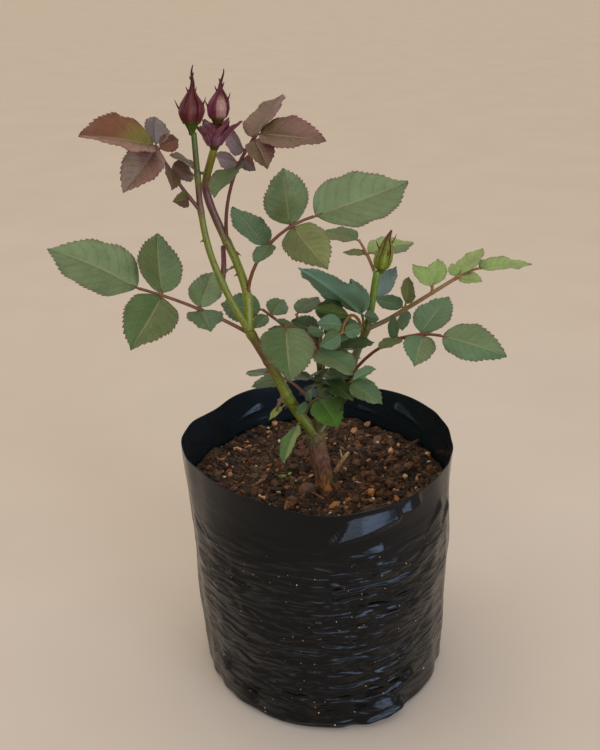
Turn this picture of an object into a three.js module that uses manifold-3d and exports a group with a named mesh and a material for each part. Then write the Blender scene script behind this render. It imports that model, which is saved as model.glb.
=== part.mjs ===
// A young rose bush in its black nursery bag.
// Millimetres, +Z up. The flat underside of the bag is centred on the origin.
// The bush spreads along X, and its front faces -Y.
//
// Headings are degrees round Z from +X towards +Y, and rises are degrees above level.

import * as THREE from 'three';
import { mergeVertices } from 'three/addons/utils/BufferGeometryUtils.js';
import Module from 'manifold-3d';

// Driving dimensions of the bag, a 10 inch (254 mm) lay-flat polythene sleeve.
const BAG_HEIGHT = 160;
const BAG_RIM_RADIUS = 81;
const BAG_BASE_RADIUS = 78;
const BAG_WALL = 1;
const BAG_CORNER = 5;
const BAG_LEAN = -4.5;
const BAG_FACETS = 32;
const COMPOST_LEVEL = 132;

// How far a bud's foot reaches down round the end of its shoot.
const BUD_SEAT = 1;

// Clear space left between two pieces that touch.
const GAP = 0.35;

// Driving sizes that every rose leaf shares.
const BLADE_RATIO = 0.68;
const BLADE_CURL = 14;
const BLADE_FOLD = 8;
const BLADE_THICK = 1.3;
const BLADE_STALK = 1.5;
const STALK_RADIUS = 0.7;
const RACHIS_RADIUS = 1.1;

const LEFT = -1;
const RIGHT = 1;
const END = 0;

const COLOURS = {
  film: 0x15181c,
  compost: 0x3a2a20,
  bark: 0x6b5a48,
  stem: 0x5f6b22,
  youngStem: 0x7a5a2a,
  green: 0x4f6b45,
  grey: 0x5c7d6c,
  olive: 0x6f7a3c,
  bronze: 0x6a4544,
  fresh: 0x7f9a52,
  bud: 0x5c2432,
  greenBud: 0x596420,
};

// Each limb starts on its parent, `at` a share of the parent's length, and runs through
// its legs, each one a length, a heading and a rise. `thick` and `thin` are diameters.
const LIMBS = {
  trunk: {
    start: [-0.5, -3, 123], thick: 11.8, thin: 10.8,
    legs: [[12, 190, 84], [14, 195, 80], [17, 190, 80]],
    flare: 1.15, knob: 1.12, colour: 'bark',
  },
  stem_left: {
    on: 'trunk', at: 0.97, thick: 7, thin: 5.4,
    legs: [[30, 191, 59], [23, 198, 65], [31, 200, 62]],
  },
  shoot_left: {
    on: 'stem_left', at: 1, thick: 4.3, thin: 3,
    legs: [[23, 186, 63], [26, 168, 68], [23, 148, 77], [21, 125, 84], [21, 150, 87]],
  },
  shoot_centre: {
    on: 'stem_left', at: 1, thick: 5.1, thin: 4.2,
    legs: [[20, 98, 73], [20, 131, 62], [18, 152, 61], [19, 171, 69], [8, 175, 81], [22, -28, 73]],
  },
  stem_right: {
    on: 'trunk', at: 0.93, thick: 6, thin: 4.1,
    legs: [[31.5, 46, 45], [33, 32, 66], [11, 15, 68], [36, 10, 82]],
  },
  shoot_right: {
    on: 'stem_right', at: 0.67, thick: 3.1, thin: 2.2, colour: 'youngStem',
    legs: [[13, 14, 20], [14, 14, 27], [34, 11, 30]],
  },
  stem_middle: {
    on: 'trunk', at: 0.97, thick: 4.2, thin: 3.2,
    legs: [[22, 300, 78], [39, 100, 88]],
  },
  petiole_dark: {
    on: 'shoot_left', at: 0.28, thick: 3.2, thin: 2.6, colour: 'bronze',
    legs: [[10, 80, 62], [11, 95, 50]],
  },
  petiole_stub: {
    on: 'stem_left', at: 0.42, thick: 2.9, thin: 1.8,
    legs: [[5, 225, -30], [7, 220, -62]],
  },
};

// Each bud sits on the end of its shoot, `shift` its foot's offset towards +X. `profile` is
// pairs of height and radius up to the tip, `lean` the sideways run of the tip towards +X,
// and `sepals` the loose sepal tips, each a heading, a height and a length.
const BUDS = {
  bud_first: {
    on: 'shoot_left', shift: -1, lean: 2, colour: 'bud',
    profile: [
      [0, 2], [3, 3], [6, 3.9], [9, 5.4], [12, 6.5], [16, 6], [20, 3.7], [23.5, 2.1], [29, 1.3], [35, 0.4],
    ],
    sepals: [[200, 14, 8], [-20, 14, 8]],
  },
  bud_bracts: {
    on: 'shoot_centre', shift: 0, lean: 1.5, colour: 'bud',
    profile: [[0, 2.3], [3, 3.8], [6, 5.8], [9, 6.9], [12, 6.4], [13.2, 2.4]],
    sepals: [[10, 10, 8], [190, 7, 5]],
  },
  bud_second: {
    on: 'shoot_centre', rise: 13.6, shift: 2.3, lean: 4, colour: 'bud',
    profile: [
      [0, 2.3], [2, 3.2], [4.5, 4.9], [8, 5.8], [11.5, 5.2], [15, 3.5], [18, 1.9], [22, 1.2], [28, 0.4],
    ],
    sepals: [],
  },
  bud_green: {
    on: 'stem_right', shift: 1.6, lean: 7.5, colour: 'greenBud',
    profile: [[0, 2], [3, 4], [7, 5], [12, 4.7], [17, 3.2], [21, 1.6], [26, 0.5]],
    sepals: [[60, 10, 7]],
  },
};

// Each compound leaf leaves its limb at `at` and its rachis is `long` from the limb's
// middle to the end leaflet. It sets out at `heading` and `rise`, and by its end it has
// drooped and swung by those angles. `roll` lifts its right side. A blade has a side, a
// place along the rachis, a length, an angle from the rachis, a lift and a twist.
const LEAVES = {
  leaf_far_left: {
    on: 'stem_left', at: 0.96, long: 68, colour: 'green',
    heading: 189, rise: 35, droop: 18, swing: -8, roll: 19,
    blades: [
      [END, 1, 55, 13, 5, 10], [RIGHT, 0.81, 39, 71, 24, -5], [LEFT, 0.81, 43, 79, 1, -3],
      [RIGHT, 0.49, 28, 90, 18, 21], [LEFT, 0.48, 29, 97, 28, -25],
    ],
  },
  leaf_bronze_left: {
    on: 'shoot_left', at: 0.64, long: 41, colour: 'bronze',
    heading: 186, rise: 51, droop: -13, swing: -15, roll: 16,
    blades: [
      [END, 1, 45, -57, -5, -27], [LEFT, 0.98, 33, 104, -10, -44], [RIGHT, 1, 22, 53, -8, 24],
      [RIGHT, 0.95, 16, 91, 15, 10], [LEFT, 0.71, 17, 123, 20, -6], [RIGHT, 0.67, 19, 123, 7, -1],
      [LEFT, 0.23, 14, 70, 0, 20],
    ],
  },
  leaf_bronze_right: {
    on: 'shoot_centre', at: 0.48, long: 65, colour: 'bronze',
    heading: -6, rise: 95, droop: 44, swing: -7, roll: -33,
    blades: [
      [END, 1, 37, 39, -30, 19], [LEFT, 0.94, 37, 55, -15, -12], [RIGHT, 0.95, 23, 90, -5, 45],
      [RIGHT, 0.76, 12, 88, -12, 6], [LEFT, 0.71, 17, 114, 29, 34], [RIGHT, 0.68, 30, 111, 38, 34],
      [LEFT, 0.82, 23, 92, 23, 29],
    ],
  },
  leaf_upper_right: {
    on: 'shoot_centre', at: 0.17, long: 63, colour: 'green',
    heading: 2, rise: 88, droop: 74, swing: 8, roll: -23,
    blades: [
      [END, 1, 60, -13, -1, -8], [LEFT, 0.78, 38, 69, 19, -9], [RIGHT, 0.8, 37, 80, -1, 12],
      [LEFT, 0.51, 32, 81, 27, -64], [RIGHT, 0.56, 19, 125, 32, 19],
    ],
  },
  leaf_right_top: {
    on: 'stem_right', at: 0.97, long: 30, colour: 'olive',
    heading: 110, rise: 40, droop: 21, swing: 1, roll: 4,
    blades: [[END, 1, 27, -34, -6, -3], [RIGHT, 0.58, 32, 81, 2, 16], [LEFT, 0.56, 14, 50, -12, -15]],
  },
  leaf_right_low: {
    on: 'stem_right', at: 0.29, long: 87, colour: 'grey',
    heading: -15, rise: 70, droop: 61, swing: -32, roll: -24,
    blades: [
      [END, 1, 37, -13, -18, -9], [LEFT, 0.83, 32, 81, 6, -25], [RIGHT, 0.86, 27, 66, 5, 37],
      [RIGHT, 0.68, 18, 100, 30, 19], [LEFT, 0.65, 16, 115, 32, 26],
    ],
  },
  leaf_grey_left: {
    on: 'stem_right', at: 0.65, long: 13, colour: 'grey',
    heading: 218, rise: 77, droop: 2, swing: 9, roll: -3,
    blades: [[END, 1, 49, 30, -18, 6], [RIGHT, 0.92, 22, 25, 18, -24], [LEFT, 0.94, 12, 84, 2, 15]],
  },
  leaf_arch: {
    on: 'stem_right', at: 0.61, long: 46, colour: 'olive',
    heading: 225, rise: 94, droop: 135, swing: 32, roll: 32,
    blades: [
      [END, 1, 17, 41, 10, 23], [LEFT, 1, 13, 122, 4, -16], [RIGHT, 0.88, 17, 57, 10, 17],
      [RIGHT, 0.61, 21, 51, -11, 5],
    ],
  },
  leaf_front: {
    on: 'stem_middle', at: 0.98, long: 35, colour: 'green',
    heading: 219, rise: 59, droop: 40, swing: 10, roll: -6,
    blades: [[END, 1, 44, -48, -27, -4], [RIGHT, 0.71, 13, 77, 13, -22], [LEFT, 0.47, 13, 84, 17, 21]],
  },
  leaf_centre_left: {
    on: 'stem_middle', at: 0.91, long: 43, colour: 'green',
    heading: 160, rise: 37, droop: 12, swing: -11, roll: 17,
    blades: [[END, 1, 27, -18, -19, 31], [LEFT, 0.9, 13, 90, 0, -7], [RIGHT, 0.85, 20, 77, -8, -1]],
  },
  leaf_centre_back: {
    on: 'stem_middle', at: 0.84, long: 38, colour: 'green',
    heading: 123, rise: 45, droop: 33, swing: -16, roll: -10,
    blades: [[END, 1, 22, 51, 17, 11], [RIGHT, 0.87, 11, 86, -26, -28]],
  },
  leaf_front_right: {
    on: 'stem_middle', at: 0.74, long: 22, colour: 'green',
    heading: -120, rise: 70, droop: 28, swing: 42, roll: -6,
    blades: [[END, 1, 34, -18, -35, -6]],
  },
  leaf_low_right: {
    on: 'trunk', at: 0.99, long: 52, colour: 'green',
    heading: -34, rise: 57, droop: -4, swing: -18, roll: -7,
    blades: [[END, 1, 24, 7, -66, -2], [LEFT, 1, 18, 84, 2, 8], [RIGHT, 0.78, 16, 83, -19, 39]],
  },
  leaf_low_front: {
    on: 'stem_left', at: 0.16, long: 22, colour: 'fresh',
    heading: -41, rise: 83, droop: 48, swing: 1, roll: -16,
    blades: [[END, 1, 28, 44, -23, 15], [LEFT, 0.64, 10, 85, 44, -15], [RIGHT, 0.59, 12, 90, 20, -30]],
  },
  leaf_low_left: {
    on: 'stem_left', at: 0.15, long: 5, colour: 'fresh',
    heading: 210, rise: 2, droop: 8, swing: 11, roll: -16,
    blades: [[END, 1, 27, -19, -23, -21]],
  },
  leaf_shoot_middle: {
    on: 'shoot_right', at: 0.74, long: 4, colour: 'fresh',
    heading: 81, rise: 47, droop: 9, swing: -6, roll: -7,
    blades: [[END, 1, 21, 0, 0, 15], [LEFT, 0.9, 19, 42, 5, -19]],
  },
  leaf_shoot_end: {
    on: 'shoot_right', at: 1, long: 15, colour: 'fresh',
    heading: 9, rise: 28, droop: 9, swing: -1, roll: -10,
    blades: [
      [END, 1, 35, -5, -14, 8], [LEFT, 0.16, 26, 33, 7, 7], [RIGHT, 0.14, 16, 53, 3, 6],
      [LEFT, 0.1, 11, 78, 20, -7],
    ],
  },
  leaf_shoot_base: {
    on: 'shoot_right', at: 0.42, long: 4, colour: 'grey',
    heading: 74, rise: 19, droop: -3, swing: -5, roll: -39,
    blades: [[END, 1, 19, -16, 16, -15], [LEFT, 0.5, 19, 73, -30, 15], [RIGHT, 0.5, 15, 114, -48, -23]],
  },
  leaf_grey_tip: {
    on: 'stem_right', at: 0.81, long: 4, colour: 'grey',
    heading: 43, rise: 33, droop: -7, swing: -3, roll: -1,
    blades: [[END, 1, 23, -2, 11, 0]],
  },
  leaf_bract: {
    on: 'shoot_centre', at: 0.87, long: 4, colour: 'olive',
    heading: 221, rise: -9, droop: -12, swing: 9, roll: 12,
    blades: [[END, 1, 25, 5, 34, 12]],
  },
  leaf_back_high: {
    on: 'stem_middle', at: 0.62, long: 38, colour: 'green',
    heading: 76, rise: 34, droop: 40, swing: 10, roll: 0,
    blades: [[END, 1, 32, 0, -8, 0], [LEFT, 0.8, 26, 66, 0, 0], [RIGHT, 0.8, 20, 60, 0, 0]],
  },
  leaf_back_left: {
    on: 'stem_middle', at: 0.3, long: 40, colour: 'green',
    heading: 128, rise: 36, droop: 36, swing: 10, roll: 0,
    blades: [[END, 1, 26, 0, -8, 0], [LEFT, 0.8, 21, 66, 0, 0], [RIGHT, 0.8, 21, 66, 0, 0]],
  },
  leaf_back_right: {
    on: 'stem_middle', at: 0.22, long: 42, colour: 'green',
    heading: 66, rise: 38, droop: 40, swing: -8, roll: 0,
    blades: [[END, 1, 26, 0, -8, 0], [LEFT, 0.8, 20, 66, 0, 0], [RIGHT, 0.8, 20, 66, 0, 0]],
  },
};

const wasm = await Module();
wasm.setup();

function direction(heading, rise) {
  const h = THREE.MathUtils.degToRad(heading);
  const r = THREE.MathUtils.degToRad(rise);
  return new THREE.Vector3(Math.cos(h) * Math.cos(r), Math.sin(h) * Math.cos(r), Math.sin(r));
}

// Leaves only merged positions, which is what a closed solid needs.
function bare(geometry) {
  geometry.deleteAttribute('normal');
  geometry.deleteAttribute('uv');
  return mergeVertices(geometry, 1e-4);
}

// A closed cylinder drawn out along +Y, with every vertex moved by place(share, across, up).
function skin(sides, steps, place) {
  const geometry = new THREE.CylinderGeometry(1, 1, 1, sides, steps);
  const position = geometry.attributes.position;
  for (let i = 0; i < position.count; i++) {
    const p = place(position.getY(i) + 0.5, position.getX(i), position.getZ(i));
    position.setXYZ(i, p.x, p.y, p.z);
  }
  return bare(geometry);
}

function toSolid(geometry) {
  const vertProperties = Float32Array.from(geometry.attributes.position.array);
  const triVerts = Uint32Array.from(geometry.index.array);
  return new wasm.Manifold(new wasm.Mesh({ numProp: 3, vertProperties, triVerts }));
}

function toGeometry(solid) {
  const { vertProperties, triVerts } = solid.getMesh();
  const geometry = new THREE.BufferGeometry();
  geometry.setAttribute('position', new THREE.BufferAttribute(vertProperties, 3));
  geometry.setIndex(new THREE.BufferAttribute(triVerts, 1));
  return geometry;
}

function mesh(name, geometry, colour, roughness) {
  geometry.computeVertexNormals();
  const material = new THREE.MeshStandardMaterial({ color: COLOURS[colour], roughness, metalness: 0 });
  const piece = new THREE.Mesh(geometry, material);
  piece.name = name;
  return piece;
}

// The film's outer radius, round the bag and up it: two soft side creases, slack folds, a
// rim that flares at the back, and a toe where the sealed foot folds under.
function filmRadius(angle, height) {
  const share = height / BAG_HEIGHT;
  const round = THREE.MathUtils.lerp(BAG_BASE_RADIUS, BAG_RIM_RADIUS, share);
  const crease = 1.6 * Math.cos(angle * 2) ** 8 * Math.abs(Math.cos(angle)) * share;
  const slack = 0.9 * Math.sin(3 * angle + 5 * share) + 0.6 * Math.sin(7 * angle - 9 * share);
  const swell = (middle, width) => Math.exp(-(((angle - middle) / width) ** 2));
  const flare = 4 * swell(1.95, 0.4) - 3 * swell(2.6, 0.22);
  const toe = 3.5 * swell(-1.1, 0.2) * Math.max(0, 1 - height / 40);
  return round + crease + slack * (0.4 + 0.6 * share) + flare * Math.max(0, share - 0.82) / 0.18 + toe;
}

// The height of the cut rim above the ground, which the scissors left wavy.
function rimHeight(angle) {
  const wave = 1.6 * Math.sin(2 * angle + 0.6) + 1.1 * Math.sin(5 * angle) + 0.6 * Math.sin(9 * angle);
  return BAG_HEIGHT + wave + 1.8 * Math.exp(-(((angle - 1.95) / 0.45) ** 2));
}

function compostHeight(x, y) {
  const lumps = Math.sin(x * 0.16 + 1) * Math.cos(y * 0.13) + 0.7 * Math.sin(x * 0.31 - y * 0.27);
  return COMPOST_LEVEL - 3.5 * Math.exp(-(x * x + y * y) / 1800) + 1.3 * lumps;
}

// Stacks rings of the bag's own outline into a closed solid. A ring has a share of the
// film's radius, a height, an inset from the outside and, at a free edge, a height rule.
function bagStack(rings) {
  return skin(BAG_FACETS, rings.length - 1, (share, across, up) => {
    const ring = rings[Math.round(share * (rings.length - 1))];
    const angle = Math.atan2(-up, across);
    const radius = Math.hypot(across, up) * (ring.share * filmRadius(angle, ring.height) - ring.inset);
    const lean = BAG_LEAN * ring.height / BAG_HEIGHT;
    const x = radius * Math.cos(angle);
    const y = radius * Math.sin(angle);
    const z = ring.edge ? ring.edge(angle, x, y) : ring.height + (ring.lift ?? 0);
    return new THREE.Vector3(lean + x, y, z);
  });
}

const FOOT_RINGS = [
  { share: 0.94, height: 0 },
  { share: 0.985, height: 1.5 },
  { share: 1, height: BAG_CORNER },
];
const SIDE_RINGS = [0.25, 0.45, 0.65, 0.82].map((part) => ({ share: 1, height: part * BAG_HEIGHT }));

// Polythene sleeve with a flat foot, a rounded lower corner and a wavy cut rim.
function growBag() {
  const rim = { share: 1, height: BAG_HEIGHT, edge: rimHeight };
  const outside = [...FOOT_RINGS, ...SIDE_RINGS, rim];
  const inside = outside.map((ring) => ({ ...ring, inset: BAG_WALL, lift: BAG_WALL })).reverse();
  const rings = [...outside.map((ring) => ({ ...ring, inset: 0 })), ...inside];
  return mesh('grow_bag', bagStack(rings), 'film', 0.35);
}

// The compost fills the sleeve to a lumpy top, with a socket where the trunk stands.
function compost(trunkSocket) {
  const inset = BAG_WALL + 3 * GAP;
  const fill = FOOT_RINGS.concat(SIDE_RINGS.filter((ring) => ring.height < COMPOST_LEVEL - 8));
  const walls = fill.map((ring) => ({ ...ring, inset, lift: inset }));
  const tops = [1, 0.82, 0.6, 0.38, 0.18].map((share) => ({
    share, height: COMPOST_LEVEL, inset, edge: (angle, x, y) => compostHeight(x, y),
  }));
  const whole = toSolid(bagStack([...walls, ...tops]));
  return mesh('compost', toGeometry(whole.subtract(trunkSocket)), 'compost', 1);
}

// Runs from a limb's start through its legs.
function limbCurve(start, legs) {
  const points = [start.clone()];
  for (const [long, heading, rise] of legs) {
    points.push(points.at(-1).clone().addScaledVector(direction(heading, rise), long));
  }
  return new THREE.CatmullRomCurve3(points, false, 'centripetal');
}

// A round tapering limb with closed ends, `extra` wider all round.
function limbGeometry(limb, extra = 0) {
  const steps = Math.max(2, Math.round(limb.curve.getLength() / 13));
  const frames = limb.curve.computeFrenetFrames(steps);
  return skin(limb.sides, steps, (share, across, up) => {
    const i = Math.round(share * steps);
    const radius = limb.radiusAt(share) + extra;
    const overrun = share === 0 ? -extra : share === 1 ? extra : 0;
    return limb.curve.getPointAt(share).addScaledVector(frames.tangents[i], overrun)
      .addScaledVector(frames.binormals[i], across * radius)
      .addScaledVector(frames.normals[i], up * radius);
  });
}

// The trunk flares where it enters the compost and swells to a knob where it branches.
function girth(sizes) {
  const { thick, thin, flare = 1, knob = 1 } = sizes;
  return (share) => {
    const foot = 1 + (flare - 1) * Math.max(0, 1 - share * 4);
    const head = 1 + (knob - 1) * Math.max(0, share * 4 - 3);
    return 0.5 * THREE.MathUtils.lerp(thick, thin, share) * foot * head;
  };
}

function buildLimbs() {
  const limbs = {};
  for (const [name, sizes] of Object.entries(LIMBS)) {
    const parent = limbs[sizes.on];
    const start = parent ? parent.curve.getPointAt(sizes.at) : new THREE.Vector3(...sizes.start);
    limbs[name] = {
      curve: limbCurve(start, sizes.legs),
      radiusAt: girth(sizes),
      sides: parent ? 6 : 10,
      colour: sizes.colour ?? 'stem',
    };
  }
  return limbs;
}

const clearance = (limb) => toSolid(limbGeometry(limb, GAP));

// Cuts a piece back so that it stops short of each of these limbs, and drops stray slivers.
function clearOf(geometry, others) {
  const cut = others.reduce((solid, limb) => solid.subtract(clearance(limb)), toSolid(geometry));
  return cut.decompose().reduce((a, b) => (a.volume() > b.volume() ? a : b));
}

// A leaf's rachis starts in its limb, and bends as it droops and swings.
function rachisCurve(leaf, root) {
  const steps = 12;
  const points = [root.clone()];
  for (let i = 0; i < steps; i++) {
    const t = rachisDirection(leaf, (i + 0.5) / steps);
    points.push(points.at(-1).clone().addScaledVector(t, leaf.long / steps));
  }
  return points;
}

function rachisDirection(leaf, share) {
  return direction(leaf.heading + leaf.swing * share, leaf.rise - leaf.droop * share);
}

function rachisPoint(points, share) {
  const place = share * (points.length - 1);
  const i = Math.min(Math.floor(place), points.length - 2);
  return points[i].clone().lerp(points[i + 1], place - i);
}

// The leaf's right and its upper side at a point of the rachis, turned by its roll.
function rachisSides(leaf, share) {
  const along = rachisDirection(leaf, share);
  const level = new THREE.Vector3().crossVectors(along, new THREE.Vector3(0, 0, 1)).normalize();
  const above = new THREE.Vector3().crossVectors(level, along);
  const roll = THREE.MathUtils.degToRad(leaf.roll);
  const right = level.clone().multiplyScalar(Math.cos(roll)).addScaledVector(above, Math.sin(roll));
  const up = above.multiplyScalar(Math.cos(roll)).addScaledVector(level, -Math.sin(roll));
  return { along, right, up };
}

// Half the width of a rose leaflet at a share of its length, as a share of its widest.
function bladeOutline(share) {
  return 1.05 * Math.sin(Math.PI * share ** 0.78) ** 0.72 * (1 - 0.12 * share);
}

// One leaflet: a thin pad on a short stalk, folded along its midrib and curling down.
function bladeGeometry(leaf, points, [side, at, long, angle, lift, twist]) {
  const { along, right, up } = rachisSides(leaf, at);
  const turn = THREE.MathUtils.degToRad(angle) * (side === LEFT ? -1 : 1);
  const out = along.multiplyScalar(Math.cos(turn)).addScaledVector(right, Math.sin(turn));
  const across = new THREE.Vector3().crossVectors(out, up).normalize();
  const raise = THREE.MathUtils.degToRad(lift);
  out.multiplyScalar(Math.cos(raise)).addScaledVector(up, Math.sin(raise));
  const face = new THREE.Vector3().crossVectors(across, out);
  across.applyAxisAngle(out, -THREE.MathUtils.degToRad(twist));
  face.applyAxisAngle(out, -THREE.MathUtils.degToRad(twist));

  const stations = [0, 0.14, 0.42, 0.74, 1];
  const root = rachisPoint(points, at);
  const curl = THREE.MathUtils.degToRad(BLADE_CURL);
  const fold = THREE.MathUtils.degToRad(BLADE_FOLD);
  return skin(4, stations.length, (share, sideways, upward) => {
    const i = Math.round(share * stations.length);
    const station = stations[Math.max(0, i - 1)];
    const reach = i === 0 ? 0 : BLADE_STALK + long * Math.sin(curl * station) / curl;
    const half = Math.max(STALK_RADIUS, bladeOutline(station) * long * BLADE_RATIO / 2);
    const drop = long * (1 - Math.cos(curl * station)) / curl;
    const thick = Math.max(0.5, 0.5 * BLADE_THICK * Math.min(1, half / 3)) * upward;
    const wing = Math.abs(sideways) * half * Math.sin(fold);
    return root.clone().addScaledVector(out, reach)
      .addScaledVector(across, sideways * half * Math.cos(fold))
      .addScaledVector(face, thick + wing - drop);
  });
}

function rachisGeometry(leaf, points) {
  const curve = new THREE.CatmullRomCurve3(points);
  const steps = Math.max(2, Math.round(leaf.long / 13));
  return skin(4, steps, (share, across, up) => {
    const sides = rachisSides(leaf, share);
    const radius = RACHIS_RADIUS * (1 - 0.3 * share);
    return curve.getPointAt(share)
      .addScaledVector(sides.right, across * radius)
      .addScaledVector(sides.up, up * radius);
  });
}

// One compound leaf: its rachis and leaflets in one solid, clear of the limb that bears it.
function compoundLeaf(name, leaf, limb, others) {
  const points = rachisCurve(leaf, limb.curve.getPointAt(leaf.at));
  let solid = clearOf(rachisGeometry(leaf, points), others);
  for (const blade of leaf.blades) {
    solid = solid.add(clearOf(bladeGeometry(leaf, points, blade), others));
  }
  return mesh(name, toGeometry(solid), leaf.colour, 0.6);
}

// A pointed bud, with its loose sepal tips as thin cones leaning off its shoulder.
function bud(name, sizes, limb) {
  const { profile, lean, shift, sepals, rise = 0, colour } = sizes;
  const foot = limb.curve.getPointAt(1).add(new THREE.Vector3(shift, 0, rise - BUD_SEAT));
  const tall = profile.at(-1)[0];
  const body = skin(7, profile.length - 1, (share, across, up) => {
    const [height, radius] = profile[Math.round(share * (profile.length - 1))];
    const drift = lean * (height / tall) ** 1.5;
    return foot.clone().add(new THREE.Vector3(drift + across * radius, -up * radius, height));
  });
  let solid = clearOf(body, [limb]);
  for (const [heading, height, long] of sepals) {
    const widest = Math.max(...profile.map(([, radius]) => radius));
    const start = foot.clone().add(new THREE.Vector3(0, 0, height - long * 0.5));
    start.addScaledVector(direction(heading, 0), widest * 0.75);
    const tip = start.clone().addScaledVector(direction(heading, 68), long);
    const cone = skin(4, 1, (share, across, up) => {
      const radius = THREE.MathUtils.lerp(1.3, 0.35, share);
      return start.clone().lerp(tip, share).add(new THREE.Vector3(across * radius, -up * radius, 0));
    });
    solid = solid.add(toSolid(cone));
  }
  return mesh(name, toGeometry(solid), colour, 0.5);
}

const plant = new THREE.Group();
plant.name = 'rose_bush';
const limbs = buildLimbs();
plant.add(growBag());
plant.add(compost(clearance(limbs.trunk)));
const earlier = [];
for (const [name, limb] of Object.entries(limbs)) {
  const solid = clearOf(limbGeometry(limb), earlier);
  plant.add(mesh(name, toGeometry(solid), limb.colour, 0.7));
  earlier.push(limb);
}
for (const [name, leaf] of Object.entries(LEAVES)) {
  plant.add(compoundLeaf(name, leaf, limbs[leaf.on], earlier));
}
for (const [name, sizes] of Object.entries(BUDS)) {
  plant.add(bud(name, sizes, limbs[sizes.on]));
}

export default plant;
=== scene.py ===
"""A young rose bush in its black polythene nursery bag.

Sizes are in millimetres until a mesh is made. +Z is up and the plant's front faces -Y.
Headings are degrees round Z from +X towards +Y, and rises are degrees above level.
"""

import math

import bpy
import numpy as np
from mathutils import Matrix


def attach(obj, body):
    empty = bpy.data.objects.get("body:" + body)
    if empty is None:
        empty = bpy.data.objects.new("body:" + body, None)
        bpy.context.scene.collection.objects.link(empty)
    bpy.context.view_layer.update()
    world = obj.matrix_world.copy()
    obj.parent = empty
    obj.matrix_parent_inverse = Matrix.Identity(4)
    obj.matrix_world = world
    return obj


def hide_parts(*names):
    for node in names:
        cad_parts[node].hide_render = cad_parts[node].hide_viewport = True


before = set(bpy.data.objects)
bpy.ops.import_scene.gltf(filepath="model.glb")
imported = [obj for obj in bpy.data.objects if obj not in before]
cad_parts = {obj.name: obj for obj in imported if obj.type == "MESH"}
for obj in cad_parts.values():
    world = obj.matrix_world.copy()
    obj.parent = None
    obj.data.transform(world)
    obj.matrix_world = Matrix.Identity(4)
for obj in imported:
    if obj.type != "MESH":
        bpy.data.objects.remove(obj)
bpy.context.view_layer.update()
MM = 0.001


# ---------------------------------------------------------------------------------------
# Camera, floor and light. The camera looks down on the front of the plant. The floor is
# pale, matt and plain, and the light is soft: a broad cloudy sky, with softboxes in front
# and on the left, whose long reflections show the creases of the film.
# ---------------------------------------------------------------------------------------

def colour(code):
    """An sRGB hex value as linear red, green, blue and alpha."""
    parts = [int(code[i:i + 2], 16) / 255 for i in (1, 3, 5)]
    return tuple(c / 12.92 if c <= 0.04045 else ((c + 0.055) / 1.055) ** 2.4 for c in parts) + (1.0,)


def node(tree, kind, links=(), **settings):
    """Adds a node with its settings. `links` pairs each input with a value or a socket."""
    made = tree.nodes.new(kind)
    for key, value in settings.items():
        setattr(made, key, value)
    for key, value in dict(links).items():
        if isinstance(value, bpy.types.NodeSocket):
            tree.links.new(value, made.inputs[key])
        else:
            made.inputs[key].default_value = value
    return made


def new_tree(name):
    """A new material, its empty tree of nodes, and the object's own coordinates in it."""
    material = bpy.data.materials.new(name)
    material.use_nodes = True
    tree = material.node_tree
    tree.nodes.clear()
    return material, tree, node(tree, "ShaderNodeTexCoord").outputs["Object"]


def cloud(tree, place, scale, detail, **more):
    """Noise about 0.5, with `scale` cells to each metre of `place`."""
    links = {"Vector": place, "Scale": scale, "Detail": detail, **more}
    return node(tree, "ShaderNodeTexNoise", links).outputs[0]


# Mix nodes in colour mode keep their colours and their result in these sockets.
FACTOR, COLOUR_A, COLOUR_B, MIXED = 0, 6, 7, 2


def mix(tree, share, first, second, blend_type="MIX"):
    """The mix of two colours, each given as a hex value or as a socket."""
    first, second = (colour(c) if isinstance(c, str) else c for c in (first, second))
    links = {FACTOR: share, COLOUR_A: first, COLOUR_B: second}
    return node(tree, "ShaderNodeMix", links, data_type="RGBA", blend_type=blend_type).outputs[MIXED]


def cover(tree, links):
    """Ends a material with one surface shader that has these inputs."""
    shader = node(tree, "ShaderNodeBsdfPrincipled", links)
    node(tree, "ShaderNodeOutputMaterial", {"Surface": shader.outputs[0]})


bpy.ops.object.camera_add(location=(-0.0160, -0.5104, 0.4451), rotation=(math.radians(64.63), 0, 0))
camera = bpy.context.object
camera.data.lens = 45.6
camera.data.sensor_width = 36
camera.data.clip_start = 0.01
bpy.context.scene.camera = camera
bpy.context.scene.view_settings.view_transform = "Standard"

bpy.ops.mesh.primitive_plane_add(size=14)
floor = bpy.context.object
floor.name = "floor"

# Matt plaster, rolled on, with the faintest mottle.
plaster, tree, place = new_tree("matt_plaster")
mottled = mix(tree, cloud(tree, place, 9.0, 3.0), "#bdb0a2", "#c6baac")
cover(tree, {"Base Color": mottled, "Roughness": 0.9})
floor.data.materials.append(plaster)

world = bpy.data.worlds.new("cloudy_sky")
bpy.context.scene.world = world
world.use_nodes = True
world.node_tree.nodes.clear()
sky = node(world.node_tree, "ShaderNodeBackground", {"Color": colour("#fff5e8"), "Strength": 0.66})
node(world.node_tree, "ShaderNodeOutputWorld", {"Surface": sky.outputs[0]})

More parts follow.
